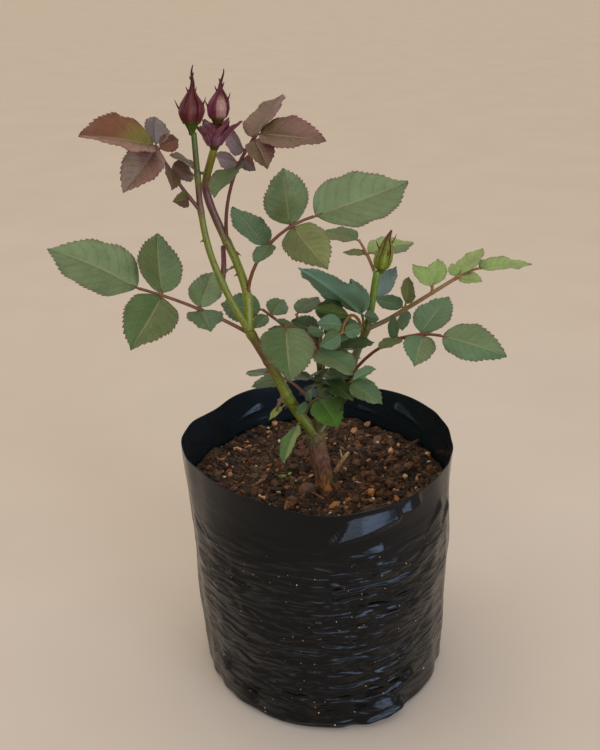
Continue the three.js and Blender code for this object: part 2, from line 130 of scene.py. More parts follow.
SOFTBOXES = {
    "front_right": {"at": (1.05, -1.15, 0.52), "wide": 0.9, "tall": 0.7, "power": 3.0, "tint": "#c4daff"},
    "left_window": {"at": (-1.7, 0.1, 0.75), "wide": 0.9, "tall": 0.9, "power": 1.0, "tint": "#dfe9ff"},
    "front_sky": {"at": (0.25, -1.65, 0.62), "wide": 1.5, "tall": 0.55, "power": 2.2, "tint": "#dae6ff"},
}
AIM = np.array((0.0, 0.0, 0.17))
GRID_SPREAD = math.radians(90)  # the grids on the softboxes keep their light off the floor
for name, box in SOFTBOXES.items():
    away = np.array(box["at"]) - AIM
    flat = math.hypot(away[0], away[1])
    turn = (math.atan2(flat, away[2]), 0, math.atan2(away[0], -away[1]))
    bpy.ops.object.light_add(type="AREA", location=box["at"], rotation=turn)
    light = bpy.context.object
    light.name = name
    light.data.shape = "RECTANGLE"
    light.data.size = box["wide"]
    light.data.size_y = box["tall"]
    light.data.energy = box["power"]
    light.data.spread = GRID_SPREAD
    light.data.color = colour(box["tint"])[:3]

bpy.ops.object.light_add(type="SUN", rotation=(math.radians(-14), math.radians(-12), 0))
sun = bpy.context.object
sun.name = "sun_through_cloud"
sun.data.energy = 1.0
sun.data.angle = math.radians(75)
sun.data.color = colour("#fff4e4")[:3]


# ---------------------------------------------------------------------------------------
# The nursery bag: a sleeve of thin black polythene film, blown, cut and heat-sealed flat
# at its foot. The compost presses it into fine level creases, it is wavy at its sides, and
# above the compost the slack film is smooth, with a few sharp folds. It is a grid rolled
# into a closed skin: foot, outer wall, cut rim and inner wall.
# ---------------------------------------------------------------------------------------

BAG_HEIGHT = 160
RIM_RADIUS = 81
BASE_RADIUS = 78
CORNER = 5
LEAN = -4.5
COMPOST_LEVEL = 132
FILM = 0.35
HIDDEN = 3.0  # how far the plain inner wall stands in, where the compost hides it


def noise(x, y, seed, wrap=None):
    """Smooth noise from -1 to 1 on a lattice of unit cells. x repeats after `wrap` cells."""
    left, low = np.floor(x).astype(int), np.floor(y).astype(int)
    fx, fy = x - left, y - low
    fx, fy = fx * fx * (3 - 2 * fx), fy * fy * (3 - 2 * fy)
    table = np.random.default_rng(seed).uniform(-1, 1, (256, 256))

    def corner(dx, dy):
        column = (left + dx) % wrap if wrap else left + dx
        return table[column % 256, (low + dy) % 256]

    bottom = corner(0, 0) * (1 - fx) + corner(1, 0) * fx
    top = corner(0, 1) * (1 - fx) + corner(1, 1) * fx
    return bottom * (1 - fy) + top * fy


def ramp(x, start, end):
    """Rises smoothly from 0 at `start` to 1 at `end`."""
    t = np.clip((x - start) / (end - start), 0, 1)
    return t * t * (3 - 2 * t)


def swell(angle, middle, width):
    """1 at the middle angle, fading to 0 on both sides of it. Angles run from -pi to pi."""
    around = (angle + math.pi) % (2 * math.pi) - math.pi
    return np.exp(-((around - middle) / width) ** 2)


def lean(height):
    """How far the bag and its compost lean towards +X at this height."""
    return LEAN * height / BAG_HEIGHT


def film_radius(angle, height):
    """The bag's own outline: two soft side creases, slack folds, the flare and the toe."""
    share = height / BAG_HEIGHT
    crease = 1.6 * np.cos(angle * 2) ** 8 * np.abs(np.cos(angle)) * share
    slack = 0.9 * np.sin(3 * angle + 5 * share) + 0.6 * np.sin(7 * angle - 9 * share)
    flare = 4 * swell(angle, 1.95, 0.4) - 3 * swell(angle, 2.6, 0.22)
    toe = 3.5 * swell(angle, -1.1, 0.2) * np.maximum(0, 1 - height / 40)
    round_part = BASE_RADIUS + (RIM_RADIUS - BASE_RADIUS) * share + crease + slack * (0.4 + 0.6 * share)
    return round_part + flare * np.maximum(0, share - 0.82) / 0.18 + toe


def rim_height(angle):
    """The cut rim, which isn't quite level."""
    wave = 1.6 * np.sin(2 * angle + 0.6) + 1.1 * np.sin(5 * angle) + 0.6 * np.sin(9 * angle)
    return BAG_HEIGHT + wave + 1.8 * swell(angle, 1.95, 0.45)


# Sharp folds in the slack film. Each has its foot along a line from one place to another,
# an angle round the bag and a height. It stands proud there, slopes back at a pitch as it
# rises, and has a height where it is tallest. Some also say how soon they get that tall
# (growth), or up to which level they reach (top), and how deep the ledge at the foot is.
FOLDS = [
    ((-87, 144), (-57, 151), 0.44, 0, {"top": 157, "under": 6}),
    ((-61, 150), (-45, 154), 0.42, 8, {"growth": 2}),
    ((-84, 128), (-62, 131), 0.4, 6), ((-98, 134), (-88, 133), 0.2, 4), ((-44, 126), (-28, 141), 0.25, 7),
    ((-36, 112), (-18, 134), 0.25, 7), ((-84, 9), (-56, 16), 0.6, 8), ((-78, 2.5), (-50, 9), 0.62, 7),
    ((-96, 13), (-76, 16), 0.58, 5), ((-62, 20), (-44, 28), 0.55, 6), ((-112, 24), (-98, 19), 0.35, 6),
    ((-138, 17), (-122, 9), 0.4, 8), ((-150, 30), (-138, 22), 0.3, 7), ((30, 141), (52, 149), -0.42, 7),
    ((54, 139), (72, 142), -0.4, 5), ((136, 140), (116, 145), -0.4, 5), ((70, 142), (100, 148), -0.3, 9),
    ((100, 40), (128, 47), 0.25, 12), ((30, 92), (58, 84), 0.22, 11), ((84, 12), (62, 19), 0.35, 8),
    ((150, 60), (168, 74), 0.22, 10),
]


def fold_relief(angle, height):
    """How far the folds stand out of the film."""
    relief = np.zeros_like(height)
    for (start, low), (end, high), pitch, tallest, *more in FOLDS:
        fold = more[0] if more else {}
        share = (np.degrees(angle) - start) / (end - start)
        foot = low + (high - low) * share
        above = height - foot
        if "top" in fold:
            tall = fold["top"] - foot
            across = ramp(share - 0.25 * np.clip(above / tall, 0, 1), 0, 0.05) * ramp(share, 1, 0.93)
        else:
            taper = np.minimum(share * fold.get("growth", 1.15), (1 - share) * 6)
            tall = tallest * np.clip(taper, 1e-3, 1)
            across = 1
        rise = np.clip(tall - above, 0, tall) * ramp(above, -fold.get("under", 1), 0) * across
        relief += pitch * rise * (share > 0) * (share < 1)
    return relief


def wrinkles(angle, height):
    """How far the film stands out or in from its outline."""
    around = angle / (2 * math.pi)
    slow = noise(around * 12, height / 30, 1, wrap=12)
    drift = noise(around * 22, height / 14, 2, wrap=22)
    level = 1 - np.abs(noise(around * 24 + 0.7 * drift, height / 6.4 + 0.9 * drift, 3, wrap=24))
    short = 1 - np.abs(noise(around * 54 + drift, height / 2.8, 4, wrap=54))
    patch = ramp(noise(around * 10, height / 24, 5, wrap=10), -0.5, 0.5)
    pressed = 1 - ramp(height, COMPOST_LEVEL - 14, COMPOST_LEVEL)
    side = np.exp(-(np.sin(angle) / 0.5) ** 2)
    wavy = np.sin(angle * 23 + height / 40 + 2.2 * noise(around * 12, height / 45, 6, wrap=12))
    foot = (1 - ramp(height, 2, 17)) * np.sin(angle * 19 + 2.2 * np.sin(angle * 5))
    creases = (0.95 * level ** 4 + 0.3 * short ** 3) * (0.15 + 0.85 * patch) * (0.12 + 0.88 * pressed)
    return (0.8 * slow + creases * (1 - 0.8 * side) + 0.75 * side * wavy * (0.4 + 0.6 * pressed)
            + 0.5 * foot + fold_relief(angle, height))


# The profile from the middle of the foot, up the outside and down the inside: how far
# along the grid each place comes, its share of the film's radius, height and inset.
PROFILE = np.array([
    [0.000, 0.00, 0, 0], [0.015, 0.94, 0, 0], [0.022, 0.97, 0.6, 0], [0.028, 0.985, 1.5, 0],
    [0.036, 0.996, 3, 0], [0.045, 1.00, CORNER, 0], [0.820, 1.00, BAG_HEIGHT, 0],
    [0.825, 1.00, BAG_HEIGHT, FILM], [0.970, 1.00, 120, FILM], [0.978, 1.00, 115, HIDDEN],
    [0.985, 1.00, CORNER, HIDDEN], [0.992, 0.94, FILM, FILM], [1.000, 0.00, FILM, FILM],
])


def shaped_grid(name, across, along, place, tint=None):
    """A grid of squares whose points move to place(u, v), with its doubles merged."""
    bpy.ops.object.select_all(action="DESELECT")
    bpy.ops.mesh.primitive_grid_add(x_subdivisions=across, y_subdivisions=along, size=1)
    piece = bpy.context.object
    piece.name = piece.data.name = name
    flat = np.empty(len(piece.data.vertices) * 3)
    piece.data.vertices.foreach_get("co", flat)
    u, v = np.clip(flat[0::3] + 0.5, 0, 1), np.clip(flat[1::3] + 0.5, 0, 1)
    piece.data.vertices.foreach_set("co", (place(u, v) * MM).ravel())
    if tint:
        layer = piece.data.attributes.new("tint", "FLOAT_COLOR", "POINT")
        layer.data.foreach_set("color", tint(u, v).ravel())
    bpy.ops.object.mode_set(mode="EDIT")
    bpy.ops.mesh.select_all(action="SELECT")
    bpy.ops.mesh.remove_doubles(threshold=1e-6)
    bpy.ops.mesh.normals_make_consistent(inside=False)
    bpy.ops.object.mode_set(mode="OBJECT")
    bpy.ops.object.shade_smooth()
    return piece


def on_film(u, v):
    angle = u * 2 * math.pi - math.pi
    share, height, inset = (np.interp(v, PROFILE[:, 0], PROFILE[:, k]) for k in (1, 2, 3))
    creased = wrinkles(angle, height) * ramp(share, 0.8, 0.98) * (inset < 1)
    radius = np.maximum(share * (film_radius(angle, height) + creased) - inset, 0)
    lift = (rim_height(angle) - BAG_HEIGHT) * ramp(height, 110, BAG_HEIGHT)
    x = lean(height) + radius * np.cos(angle)
    return np.column_stack([x, radius * np.sin(angle), height + lift])


def blend(first, second, share):
    """Two colours, hex values or arrays, mixed at each share of an array."""
    first, second = (np.array(colour(c)) if isinstance(c, str) else c for c in (first, second))
    return first * (1 - share) + second * share


def film_black_and_inner_sheen(u, v):
    """Black outside; the inner wall is painted a lighter blue-grey, a painted sheen of the sky it reflects.
    """
    return blend("#030304", "#181f21", ramp(v, 0.82, 0.826)[:, None])


FILM_SQUARES = 310
bag = shaped_grid("grow_bag_film", FILM_SQUARES, FILM_SQUARES, on_film, film_black_and_inner_sheen)


def maths(tree, operation, *values):
    return node(tree, "ShaderNodeMath", dict(enumerate(values)), operation=operation).outputs[0]


def ranged(tree, value, start, end, low=0.0, high=1.0, **settings):
    """Carries a value that runs from `start` to `end` over to `low` to `high`."""
    links = {"Value": value, "From Min": start, "From Max": end, "To Min": low, "To Max": high}
    return node(tree, "ShaderNodeMapRange", links, **settings).outputs[0]


def stretched(tree, place, across, along):
    """Coordinates scaled by `across` in X and Y and by `along` in Z."""
    links = {"Vector": place, "Scale": (across, across, along)}
    return node(tree, "ShaderNodeMapping", links).outputs[0]


def bumped(tree, height, strength, distance, links=(), **settings):
    links = {"Height": height, "Strength": strength, "Distance": distance, **dict(links)}
    return node(tree, "ShaderNodeBump", links, **settings).outputs[0]


def painted(tree):
    """The colour that each point of the mesh was given."""
    return node(tree, "ShaderNodeAttribute", attribute_name="tint").outputs["Color"]


# Blown low-density polythene, black all through: glossy and smooth, so that the light
# lies along every crease, with a bloom of dust from the compost and fine scuffs.
film, tree, place = new_tree("black_polythene_film")
x, _, z = node(tree, "ShaderNodeSeparateXYZ", {"Vector": place}).outputs
pressed = ranged(tree, z, 0.1, 0.14, 1.0, 0.0)
footed = ranged(tree, z, 0.008, 0.028, 0.15)
frontal = ranged(tree, maths(tree, "ABSOLUTE", x), 0.045, 0.078, 1.0, 0.3)
packed = maths(tree, "MULTIPLY", maths(tree, "MULTIPLY", pressed, footed), frontal)
swells = cloud(tree, stretched(tree, place, 46.0, 165.0), 1.0, 1.0, Distortion=0.5)
bump = bumped(tree, maths(tree, "MULTIPLY", swells, packed), 1.0, 0.0062)
crinkle = cloud(tree, stretched(tree, place, 260.0, 420.0), 1.0, 1.0)
dusty = cloud(tree, place, 34.0, 6.0, Roughness=0.7)
# Each point's painted colour is black, and on the inner wall a lighter blue-grey, a painted sheen.
cover(tree, {
    "Base Color": mix(tree, ranged(tree, dusty, 0.52, 0.8, 0.0, 0.5), painted(tree), "#131211"),
    "Roughness": ranged(tree, dusty, 0.35, 0.75, 0.18, 0.34),
    "Normal": bumped(tree, crinkle, 0.35, 0.0003, {"Normal": bump}),
    "Specular IOR Level": 0.27, "Specular Tint": colour("#e2ebf2")})
bag.data.materials.append(film)
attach(bag, "root")
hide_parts("grow_bag")


# ---------------------------------------------------------------------------------------
# The compost: a moist, dark, peaty mix that fills the bag to a lumpy top, a little lower
# round the trunk. It is one closed plug, and on it lie loose crumbs, shreds of bark,
# wood chips and small stones, each kind joined in one mesh made from arrays.
# ---------------------------------------------------------------------------------------

PLUG_GAP = 1.4  # the plug stands this far inside the film


def compost_height(x, y):
    """The lumpy top of the compost, hollowed round the trunk."""
    lumps = np.sin(x * 0.16 + 1) * np.cos(y * 0.13) + 0.7 * np.sin(x * 0.31 - y * 0.27)
    hollow = 3.5 * np.exp(-(x * x + y * y) / 1800)
    clods = 1.5 * noise(x / 9, y / 9, 11) + 1.1 * noise(x / 4, y / 4, 12) + 0.4 * noise(x / 1.6, y / 1.6, 13)
    return COMPOST_LEVEL - hollow + 1.3 * lumps + clods


def on_compost(u, v):
    angle = u * 2 * math.pi
    along = [0, 0.78, 0.82, 0.92, 1]
    reach = np.interp(v, along, [0, 1, 1, 0.86, 0])
    depth = np.interp(v, along, [0, 0, COMPOST_LEVEL - CORNER, COMPOST_LEVEL - 2, COMPOST_LEVEL - 2])
    height = COMPOST_LEVEL - depth
    radius = reach * (film_radius(angle, height) - PLUG_GAP)
    x, y = radius * np.cos(angle), radius * np.sin(angle)
    z = np.where(depth > 0, height, compost_height(x, y))
    return np.column_stack([x + lean(height), y, z])


PLUG_AROUND, PLUG_ALONG = 220, 120
plug = shaped_grid("compost_fill", PLUG_AROUND, PLUG_ALONG, on_compost)


def earth_material(name, light, dark, grain):
    """Damp earth or bark: rough all over, its tone varying at random, with painted shade
    that makes it darker in its hollows, where its bump is low. `grain` is in mm.
    """
    material, tree, place = new_tree(name)
    grains = cloud(tree, place, 1000 / grain, 4.0)
    both = maths(tree, "MULTIPLY", grains, cloud(tree, place, 90.0, 2.0))
    cover(tree, {
        "Base Color": mix(tree, ranged(tree, both, 0.12, 0.42), dark, light),
        "Roughness": 0.82, "Normal": bumped(tree, grains, 0.6, 0.0005)})
    return material


plug.data.materials.append(earth_material("moist_peat", "#553b25", "#180f08", 2.2))
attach(plug, "root")
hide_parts("compost")


def joined(name, parts, materials, smooth=True):
    """One mesh from many parts, each its points, faces, material number and, where the
    part has them, pattern places and tints for its points."""
    points, faces, numbers, uvs, tints = [], [], [], [], []
    start = 0
    for part in parts:
        count = len(part["points"])
        points.append(part["points"])
        faces.extend([[start + i for i in face] for face in part["faces"]])
        numbers.extend(np.broadcast_to(part.get("material", 0), len(part["faces"])))
        uvs.append(part.get("uv", np.zeros((count, 2))))
        tints.append(part.get("tint", np.ones((count, 4))))
        start += count
    mesh = bpy.data.meshes.new(name)
    mesh.from_pydata((np.vstack(points) * MM).tolist(), [], faces)
    mesh.polygons.foreach_set("material_index", numbers)
    mesh.polygons.foreach_set("use_smooth", [smooth] * len(faces))
    owner = np.empty(len(mesh.loops), dtype=int)
    mesh.loops.foreach_get("vertex_index", owner)
    mesh.uv_layers.new(name="UVMap").data.foreach_set("uv", np.vstack(uvs)[owner].ravel())
    mesh.attributes.new("tint", "FLOAT_COLOR", "POINT").data.foreach_set("color", np.vstack(tints).ravel())
    mesh.update()
    piece = bpy.data.objects.new(name, mesh)
    bpy.context.collection.objects.link(piece)
    for material in materials:
        mesh.materials.append(material)
    return piece


bpy.ops.object.select_all(action="DESELECT")
bpy.ops.mesh.primitive_ico_sphere_add(subdivisions=1, radius=1)
pebble = bpy.context.object
LUMP_POINTS = np.array([v.co for v in pebble.data.vertices])
LUMP_FACES = [list(p.vertices) for p in pebble.data.polygons]
bpy.data.objects.remove(pebble)


def turn_matrix(angle, axis):
    """A turn about X, Y or Z, numbered 0, 1 and 2."""
    a, b = (axis + 1) % 3, (axis + 2) % 3
    matrix = np.eye(3)
    matrix[a, a] = matrix[b, b] = math.cos(angle)
    matrix[b, a], matrix[a, b] = math.sin(angle), -math.sin(angle)
    return matrix


def lump(chance, x, y, size, material, tilt=0.5, sink=0.25):
    """One rough lump lying on the compost. `size` is its length, breadth and thickness."""
    shape = LUMP_POINTS * (1 + chance.uniform(-0.22, 0.22, (len(LUMP_POINTS), 1)))
    spin, pitch, roll = chance.uniform(0, 2 * math.pi), chance.normal(0, tilt), chance.normal(0, tilt)
    turn = turn_matrix(spin, 2) @ turn_matrix(pitch, 0) @ turn_matrix(roll, 1)
    bed = float(compost_height(np.array([x]), np.array([y]))[0])
    centre = np.array([x + lean(COMPOST_LEVEL), y, bed + size[2] * (0.5 - sink)])
    points = (shape * np.array(size) / 2) @ turn.T + centre
    return {"points": points, "faces": LUMP_FACES, "material": material}


TRUNK_FOOT = (3.2, -3.0)
TRUNK_CLEAR = 8


def strewn(chance, count, reach, length, breadth, thickness, kinds, tilt=0.5, sink=0.25):
    """Lumps strewn evenly over the compost, clear of the trunk. `length` draws the length
    of one, breadth and thickness are ranges of shares of it, and `kinds` says how likely
    each material is."""
    places = []
    while len(places) < count:
        x, y = chance.uniform(-reach, reach, 2)
        if math.hypot(x, y) < reach and math.hypot(x - TRUNK_FOOT[0], y - TRUNK_FOOT[1]) > TRUNK_CLEAR:
            places.append((x, y))
    lumps = []
    for x, y in places:
        long = length()
        size = (long, long * chance.uniform(*breadth), long * chance.uniform(*thickness))
        lumps.append(lump(chance, x, y, size, chance.choice(len(kinds), p=kinds), tilt, sink))
    return lumps


# Peat crumbs, dark and damp: small ones all over, and clods.
chance = np.random.default_rng(31)
crumbs = strewn(chance, 3600, 76, lambda: 0.9 + chance.gamma(2.0, 0.65), (0.6, 1), (0.45, 0.8),
                (0.58, 0.28, 0.14))
crumbs += strewn(chance, 300, 72, lambda: chance.uniform(3.5, 9.5), (0.6, 0.95), (0.4, 0.7),
                 (0.55, 0.35, 0.1), sink=0.35)
peat_crumbs = joined("peat_crumbs", crumbs, [earth_material(*row, 1.2) for row in (
        ("black_peat", "#463121", "#1b110a"),
        ("brown_peat", "#775335", "#382414"),
        ("red_peat", "#8f5d36", "#472a14"))], smooth=False)

# Shreds of bark and root, longer than wide.
shreds = strewn(chance, 1500, 75, lambda: 2.2 + chance.gamma(2.0, 1.5), (0.12, 0.34), (0.08, 0.2),
                (0.45, 0.4, 0.15), tilt=0.3, sink=0.05)
bark_shreds = joined("bark_shreds", shreds, [earth_material(*row, 1.5) for row in (
        ("dark_bark_shred", "#573c26", "#23160d"),
        ("red_bark_shred", "#82522f", "#432612"),
        ("tan_wood_shred", "#ab7848", "#5f3d22"))], smooth=False)

# Wood chips and grit that stand out pale: a few at their own places, the rest strewn.
CHIPS = [  # across, back, then length, breadth, thickness and kind
    (-7.9, -12.5, 10, 7.5, 6.5, 3), (5.6, -9.8, 7, 5, 3.5, 0), (-34.7, -23.1, 5, 3, 2.5, 1),
    (-17.7, -29.7, 4.5, 2.6, 2.5, 2), (8.1, -29.7, 9, 5, 3, 0), (-29.7, 70.0, 5, 4, 3.5, 1),
    (34.3, 70.0, 5, 4, 3.5, 1), (47.6, 32.2, 4.5, 4.5, 4, 1), (53.8, 2.2, 4, 3, 3, 2),
    (-53.0, 30.9, 7, 5, 3, 1), (-45.6, 40.2, 8, 2.6, 2, 1), (-56.4, 3.4, 6, 3.4, 2.6, 1),
    (30.4, -18.7, 6, 5, 4, 0), (24.6, 59.4, 5, 5, 4, 1), (62.1, 3.4, 7, 3, 2.4, 1),
    (71.0, 27.0, 4, 4, 3, 1), (39.2, 44.2, 7, 5, 4, 3), (-60.0, 14.0, 4, 3, 2.5, 1),
    (17.0, -27.0, 5, 4, 3, 0), (-26.0, 46.0, 4, 3, 3, 2), (46.0, -24.0, 5, 3, 2.5, 0),
    (-23.6, 6.0, 6, 3.4, 2, 4), (-19.0, 9.5, 4, 2.6, 1.8, 4), (22.5, 5.5, 4, 2.4, 1.6, 4),
]
CHIP_GROWTH = 1.2
chips = [lump(chance, x, y, CHIP_GROWTH * np.array(size), kind, tilt=0.25, sink=0.2)
         for x, y, *size, kind in CHIPS]
chips += strewn(chance, 240, 74.5, lambda: chance.uniform(1.5, 4.4), (0.4, 0.9), (0.3, 0.6),
                (0.34, 0.38, 0.13, 0.15), tilt=0.3, sink=0.05)
chips_and_grit = joined("chips_and_grit", chips, [
    earth_material("orange_wood_chip", "#c98a4c", "#855427", 2.0),
    earth_material("tan_wood_chip", "#dba679", "#a06c47", 2.0),
    earth_material("pale_grit", "#e6dab2", "#aea176", 2.0),
    earth_material("brown_stone", "#87624a", "#57402e", 3.0),
    earth_material("fallen_bud_scale", "#a9ba45", "#6f8030", 2.0)], smooth=False)

for piece in (peat_crumbs, bark_shreds, chips_and_grit):
    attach(piece, "root")

# Specks of compost and grit that watering has splashed on the outside of the film.
SPECKS = 480
specks = []
for _ in range(SPECKS):
    angle, height = chance.uniform(-math.pi, math.pi), chance.uniform(4, 128)
    out = float(film_radius(angle, height)) + float(wrinkles(np.array([angle]), np.array([height]))[0])
    long = 0.35 + chance.gamma(1.5, 0.22)
    shape = LUMP_POINTS * np.array([0.3, 1, chance.uniform(0.4, 1)]) * long / 2
    centre = np.array([lean(height) + out * math.cos(angle), out * math.sin(angle), height])
    specks.append({"points": shape @ turn_matrix(angle, 2).T + centre, "faces": LUMP_FACES,
                   "material": chance.choice(4, p=(0.12, 0.25, 0.23, 0.4))})
film_specks = joined("specks_on_film", specks, list(chips_and_grit.data.materials), smooth=False)
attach(film_specks, "root")


# ---------------------------------------------------------------------------------------
# The trunk: the old grafted stock, brown and corky, with furrowed bark, a flare where it
# goes into the compost, a knob where it branches, and a patch of moss on its right side.
# ---------------------------------------------------------------------------------------

def heading_rise(heading, rise):
    """The unit vector of a heading round Z and a rise above level, in degrees."""
    a, b = math.radians(heading), math.radians(rise)
    return np.array([math.cos(b) * math.cos(a), math.cos(b) * math.sin(a), math.sin(b)])


CURVE_STEPS = 40  # from one knot to the next


def smooth_run(knots, steps):
    """Evenly spaced places along the smooth curve through these knots."""
    knots = np.vstack([2 * knots[0] - knots[1], knots, 2 * knots[-1] - knots[-2]])
    fine = []
    for a, b, c, d in zip(knots, knots[1:], knots[2:], knots[3:]):
        ta, tb, tc = (np.linalg.norm(q - p) ** 0.5 for p, q in ((a, b), (b, c), (c, d)))
        m1 = ((b - a) / ta - (c - a) / (ta + tb) + (c - b) / tb) * tb
        m2 = ((c - b) / tb - (d - b) / (tb + tc) + (d - c) / tc) * tb
        for u in np.linspace(0, 1, CURVE_STEPS, endpoint=False):
            fine.append(b + m1 * u + (3 * (c - b) - 2 * m1 - m2) * u ** 2 + (2 * (b - c) + m1 + m2) * u ** 3)
    fine = np.array(fine + [knots[-2]])
    run = np.concatenate([[0], np.cumsum(np.linalg.norm(np.diff(fine, axis=0), axis=1))])
    even = np.linspace(0, run[-1], steps)
    return np.column_stack([np.interp(even, run, fine[:, k]) for k in range(3)])


CAP = 0.4  # a rod's domed ends stand out by this share of its radius


def tube(path, radii, around, tint, material=0):
    """A round closed rod along a path. radii and tint have a row for each place of it, or
    a value for each place and each step around."""
    path, radii = np.asarray(path, float), np.asarray(radii, float)
    count = len(path)
    along = np.gradient(path, axis=0)
    along /= np.linalg.norm(along, axis=1)[:, None]
    side, sides = np.cross(along[0], (0.31, 0.94, 0.12)), []
    for direction in along:
        side = side - direction * side.dot(direction)
        side /= np.linalg.norm(side)
        sides.append(side)
    sides = np.array(sides)
    ups = np.cross(along, sides)
    turn = np.arange(around) * 2 * math.pi / around
    spread = radii[:, None] * np.ones(around) if radii.ndim == 1 else radii
    rings = (path[:, None] + (spread * np.cos(turn))[..., None] * sides[:, None]
             + (spread * np.sin(turn))[..., None] * ups[:, None])
    ends = path[0] - along[0] * spread[0].mean() * CAP, path[-1] + along[-1] * spread[-1].mean() * CAP
    points = np.vstack([rings.reshape(-1, 3), ends])
    step = [(k, (k + 1) % around) for k in range(around)]
    faces = [[i * around + k, i * around + n, (i + 1) * around + n, (i + 1) * around + k]
             for i in range(count - 1) for k, n in step]
    last = (count - 1) * around
    faces += [[count * around, n, k] for k, n in step]
    faces += [[count * around + 1, last + k, last + n] for k, n in step]
    tints = np.repeat(tint, around, axis=0) if tint.ndim == 2 else tint.reshape(-1, 4)
    return {"points": points, "faces": faces, "material": material,
            "tint": np.vstack([tints, tints[0], tints[-1]])}


def tone_along(marks, share):
    """The colour at each share of a length, between its marks."""
    at = [mark for mark, _ in marks]
    codes = np.array([colour(code) for _, code in marks])
    return np.column_stack([np.interp(share, at, codes[:, k]) for k in range(4)])


# A limb starts at a place, or on another limb at a share of its length. Its legs follow
# each other, each with a length, a heading and a rise.
LIMBS = {
    "trunk": {"start": (-0.5, -3, 123), "thick": 11.8, "thin": 10.8, "flare": 1.15, "knob": 1.12,
              "legs": [(12, 190, 84), (14, 195, 80), (17, 190, 80)]},
    "stem_left": {"on": "trunk", "at": 0.97, "thick": 7, "thin": 5.4, "slot": "stem",
                  "legs": [(30, 191, 59), (23, 198, 65), (31, 200, 62)]},
    "shoot_left": {"on": "stem_left", "at": 1, "thick": 4.3, "thin": 3, "slot": "stem",
                   "legs": [(23, 186, 63), (26, 168, 68), (23, 148, 77), (21, 125, 84), (21, 150, 87)]},
    "shoot_centre": {"on": "stem_left", "at": 1, "thick": 5.1, "thin": 4.2, "slot": "stem",
                     "legs": [(20, 98, 73), (20, 131, 62), (18, 152, 61), (19, 171, 69), (8, 175, 81),
                              (22, -28, 73)]},
    "stem_right": {"on": "trunk", "at": 0.93, "thick": 6, "thin": 4.1, "slot": "stem",
                   "legs": [(31.5, 46, 45), (33, 32, 66), (11, 15, 68), (36, 10, 82)]},
    "shoot_right": {"on": "stem_right", "at": 0.67, "thick": 3.1, "thin": 2.2, "slot": "young_stem",
                    "legs": [(13, 14, 20), (14, 14, 27), (34, 11, 30)]},
    "stem_middle": {"on": "trunk", "at": 0.97, "thick": 4.2, "thin": 3.2, "slot": "stem",
                    "legs": [(22, 300, 78), (39, 100, 88)]},
    "petiole_dark": {"on": "shoot_left", "at": 0.28, "thick": 3.2, "thin": 2.6, "slot": "young_stem",
                     "legs": [(10, 80, 62), (11, 95, 50)]},
    "petiole_stub": {"on": "stem_left", "at": 0.42, "thick": 2.9, "thin": 1.8, "slot": "stem",
                     "legs": [(5, 225, -30), (7, 220, -62)]},
}


def limb_run(name, steps=121):
    """Evenly spaced places along a limb's middle line."""
    limb = LIMBS[name]
    start = np.array(limb["start"], float) if "start" in limb else limb_place(limb["on"], limb["at"])
    knots = [start]
    for long, heading, rise in limb["legs"]:
        knots.append(knots[-1] + heading_rise(heading, rise) * long)
    return smooth_run(np.array(knots), steps)


def limb_place(name, share):
    """The place at this share of a limb's length."""
    run = limb_run(name)
    place = share * (len(run) - 1)
    low = min(int(place), len(run) - 2)
    return run[low] + (run[low + 1] - run[low]) * (place - low)


def girth(limb, share):
    """A limb's radius, with its flare and its knob."""
    foot = 1 + (limb.get("flare", 1) - 1) * np.maximum(0, 1 - share * 4)
    head = 1 + (limb.get("knob", 1) - 1) * np.maximum(0, share * 4 - 3)
    return 0.5 * (limb["thick"] + (limb["thin"] - limb["thick"]) * share) * foot * head


TRUNK_ROWS, TRUNK_AROUND, TRUNK_LONG = 120, 56, 43
run = limb_run("trunk", TRUNK_ROWS)
share = np.linspace(0, 1, TRUNK_ROWS)[:, None]
turn = np.arange(TRUNK_AROUND)[None, :] * 2 * math.pi / TRUNK_AROUND
around, height = turn / (2 * math.pi), share * TRUNK_LONG
strips = 1 - np.abs(noise(around * 13 + 0.25 * np.sin(height / 4), height / 11, 41, wrap=13))
plates = noise(around * 20, height / 3.1, 42, wrap=20)
lumps = noise(around * 5, height / 8, 43, wrap=5)
bark_relief = -0.22 * strips ** 6 + 0.2 * plates + 0.8 * lumps
spur = 1.4 * np.exp(-((share - 0.74) / 0.06) ** 2) * np.exp(-((turn - 4.4) / 0.5) ** 2)
bark_radii = girth(LIMBS["trunk"], share) + bark_relief + spur
BARK_TONES = {"foot": "#bd8450", "middle": "#84583e", "top": "#7c6c38", "crack": "#3c281a", "moss": "#6e7a2c"}
bark_tint = blend(BARK_TONES["foot"], BARK_TONES["middle"], ramp(share, 0.2, 0.55)[..., None])
bark_tint = blend(bark_tint, BARK_TONES["top"], ramp(share, 0.75, 1)[..., None])
bark_tint = blend(bark_tint, BARK_TONES["crack"], (0.5 * ramp(strips, 0.8, 1))[..., None])
barked = tube(run, bark_radii, TRUNK_AROUND, bark_tint)
moss = (ramp(barked["points"][:, 0] - run[0][0], 1.5, 4.5)
        * (1 - ramp(barked["points"][:, 2], COMPOST_LEVEL + 4, COMPOST_LEVEL + 11)))[:, None]
barked["tint"] = blend(barked["tint"], BARK_TONES["moss"], 0.8 * moss)
trunk = joined("trunk_bark", [barked], [])

# Corky bark: matt and fissured, with paler flakes.
bark, tree, place = new_tree("corky_rose_bark")
fibres = cloud(tree, stretched(tree, place, 900.0, 260.0), 1.0, 5.0)
flaked = mix(tree, ranged(tree, fibres, 0.35, 0.7), "#a0938a", "#ffffff")
cover(tree, {
    "Base Color": mix(tree, 1.0, painted(tree), flaked, "MULTIPLY"),
    "Roughness": 0.75, "Normal": bumped(tree, fibres, 0.7, 0.0006)})
trunk.data.materials.append(bark)
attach(trunk, "root")
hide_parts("trunk")

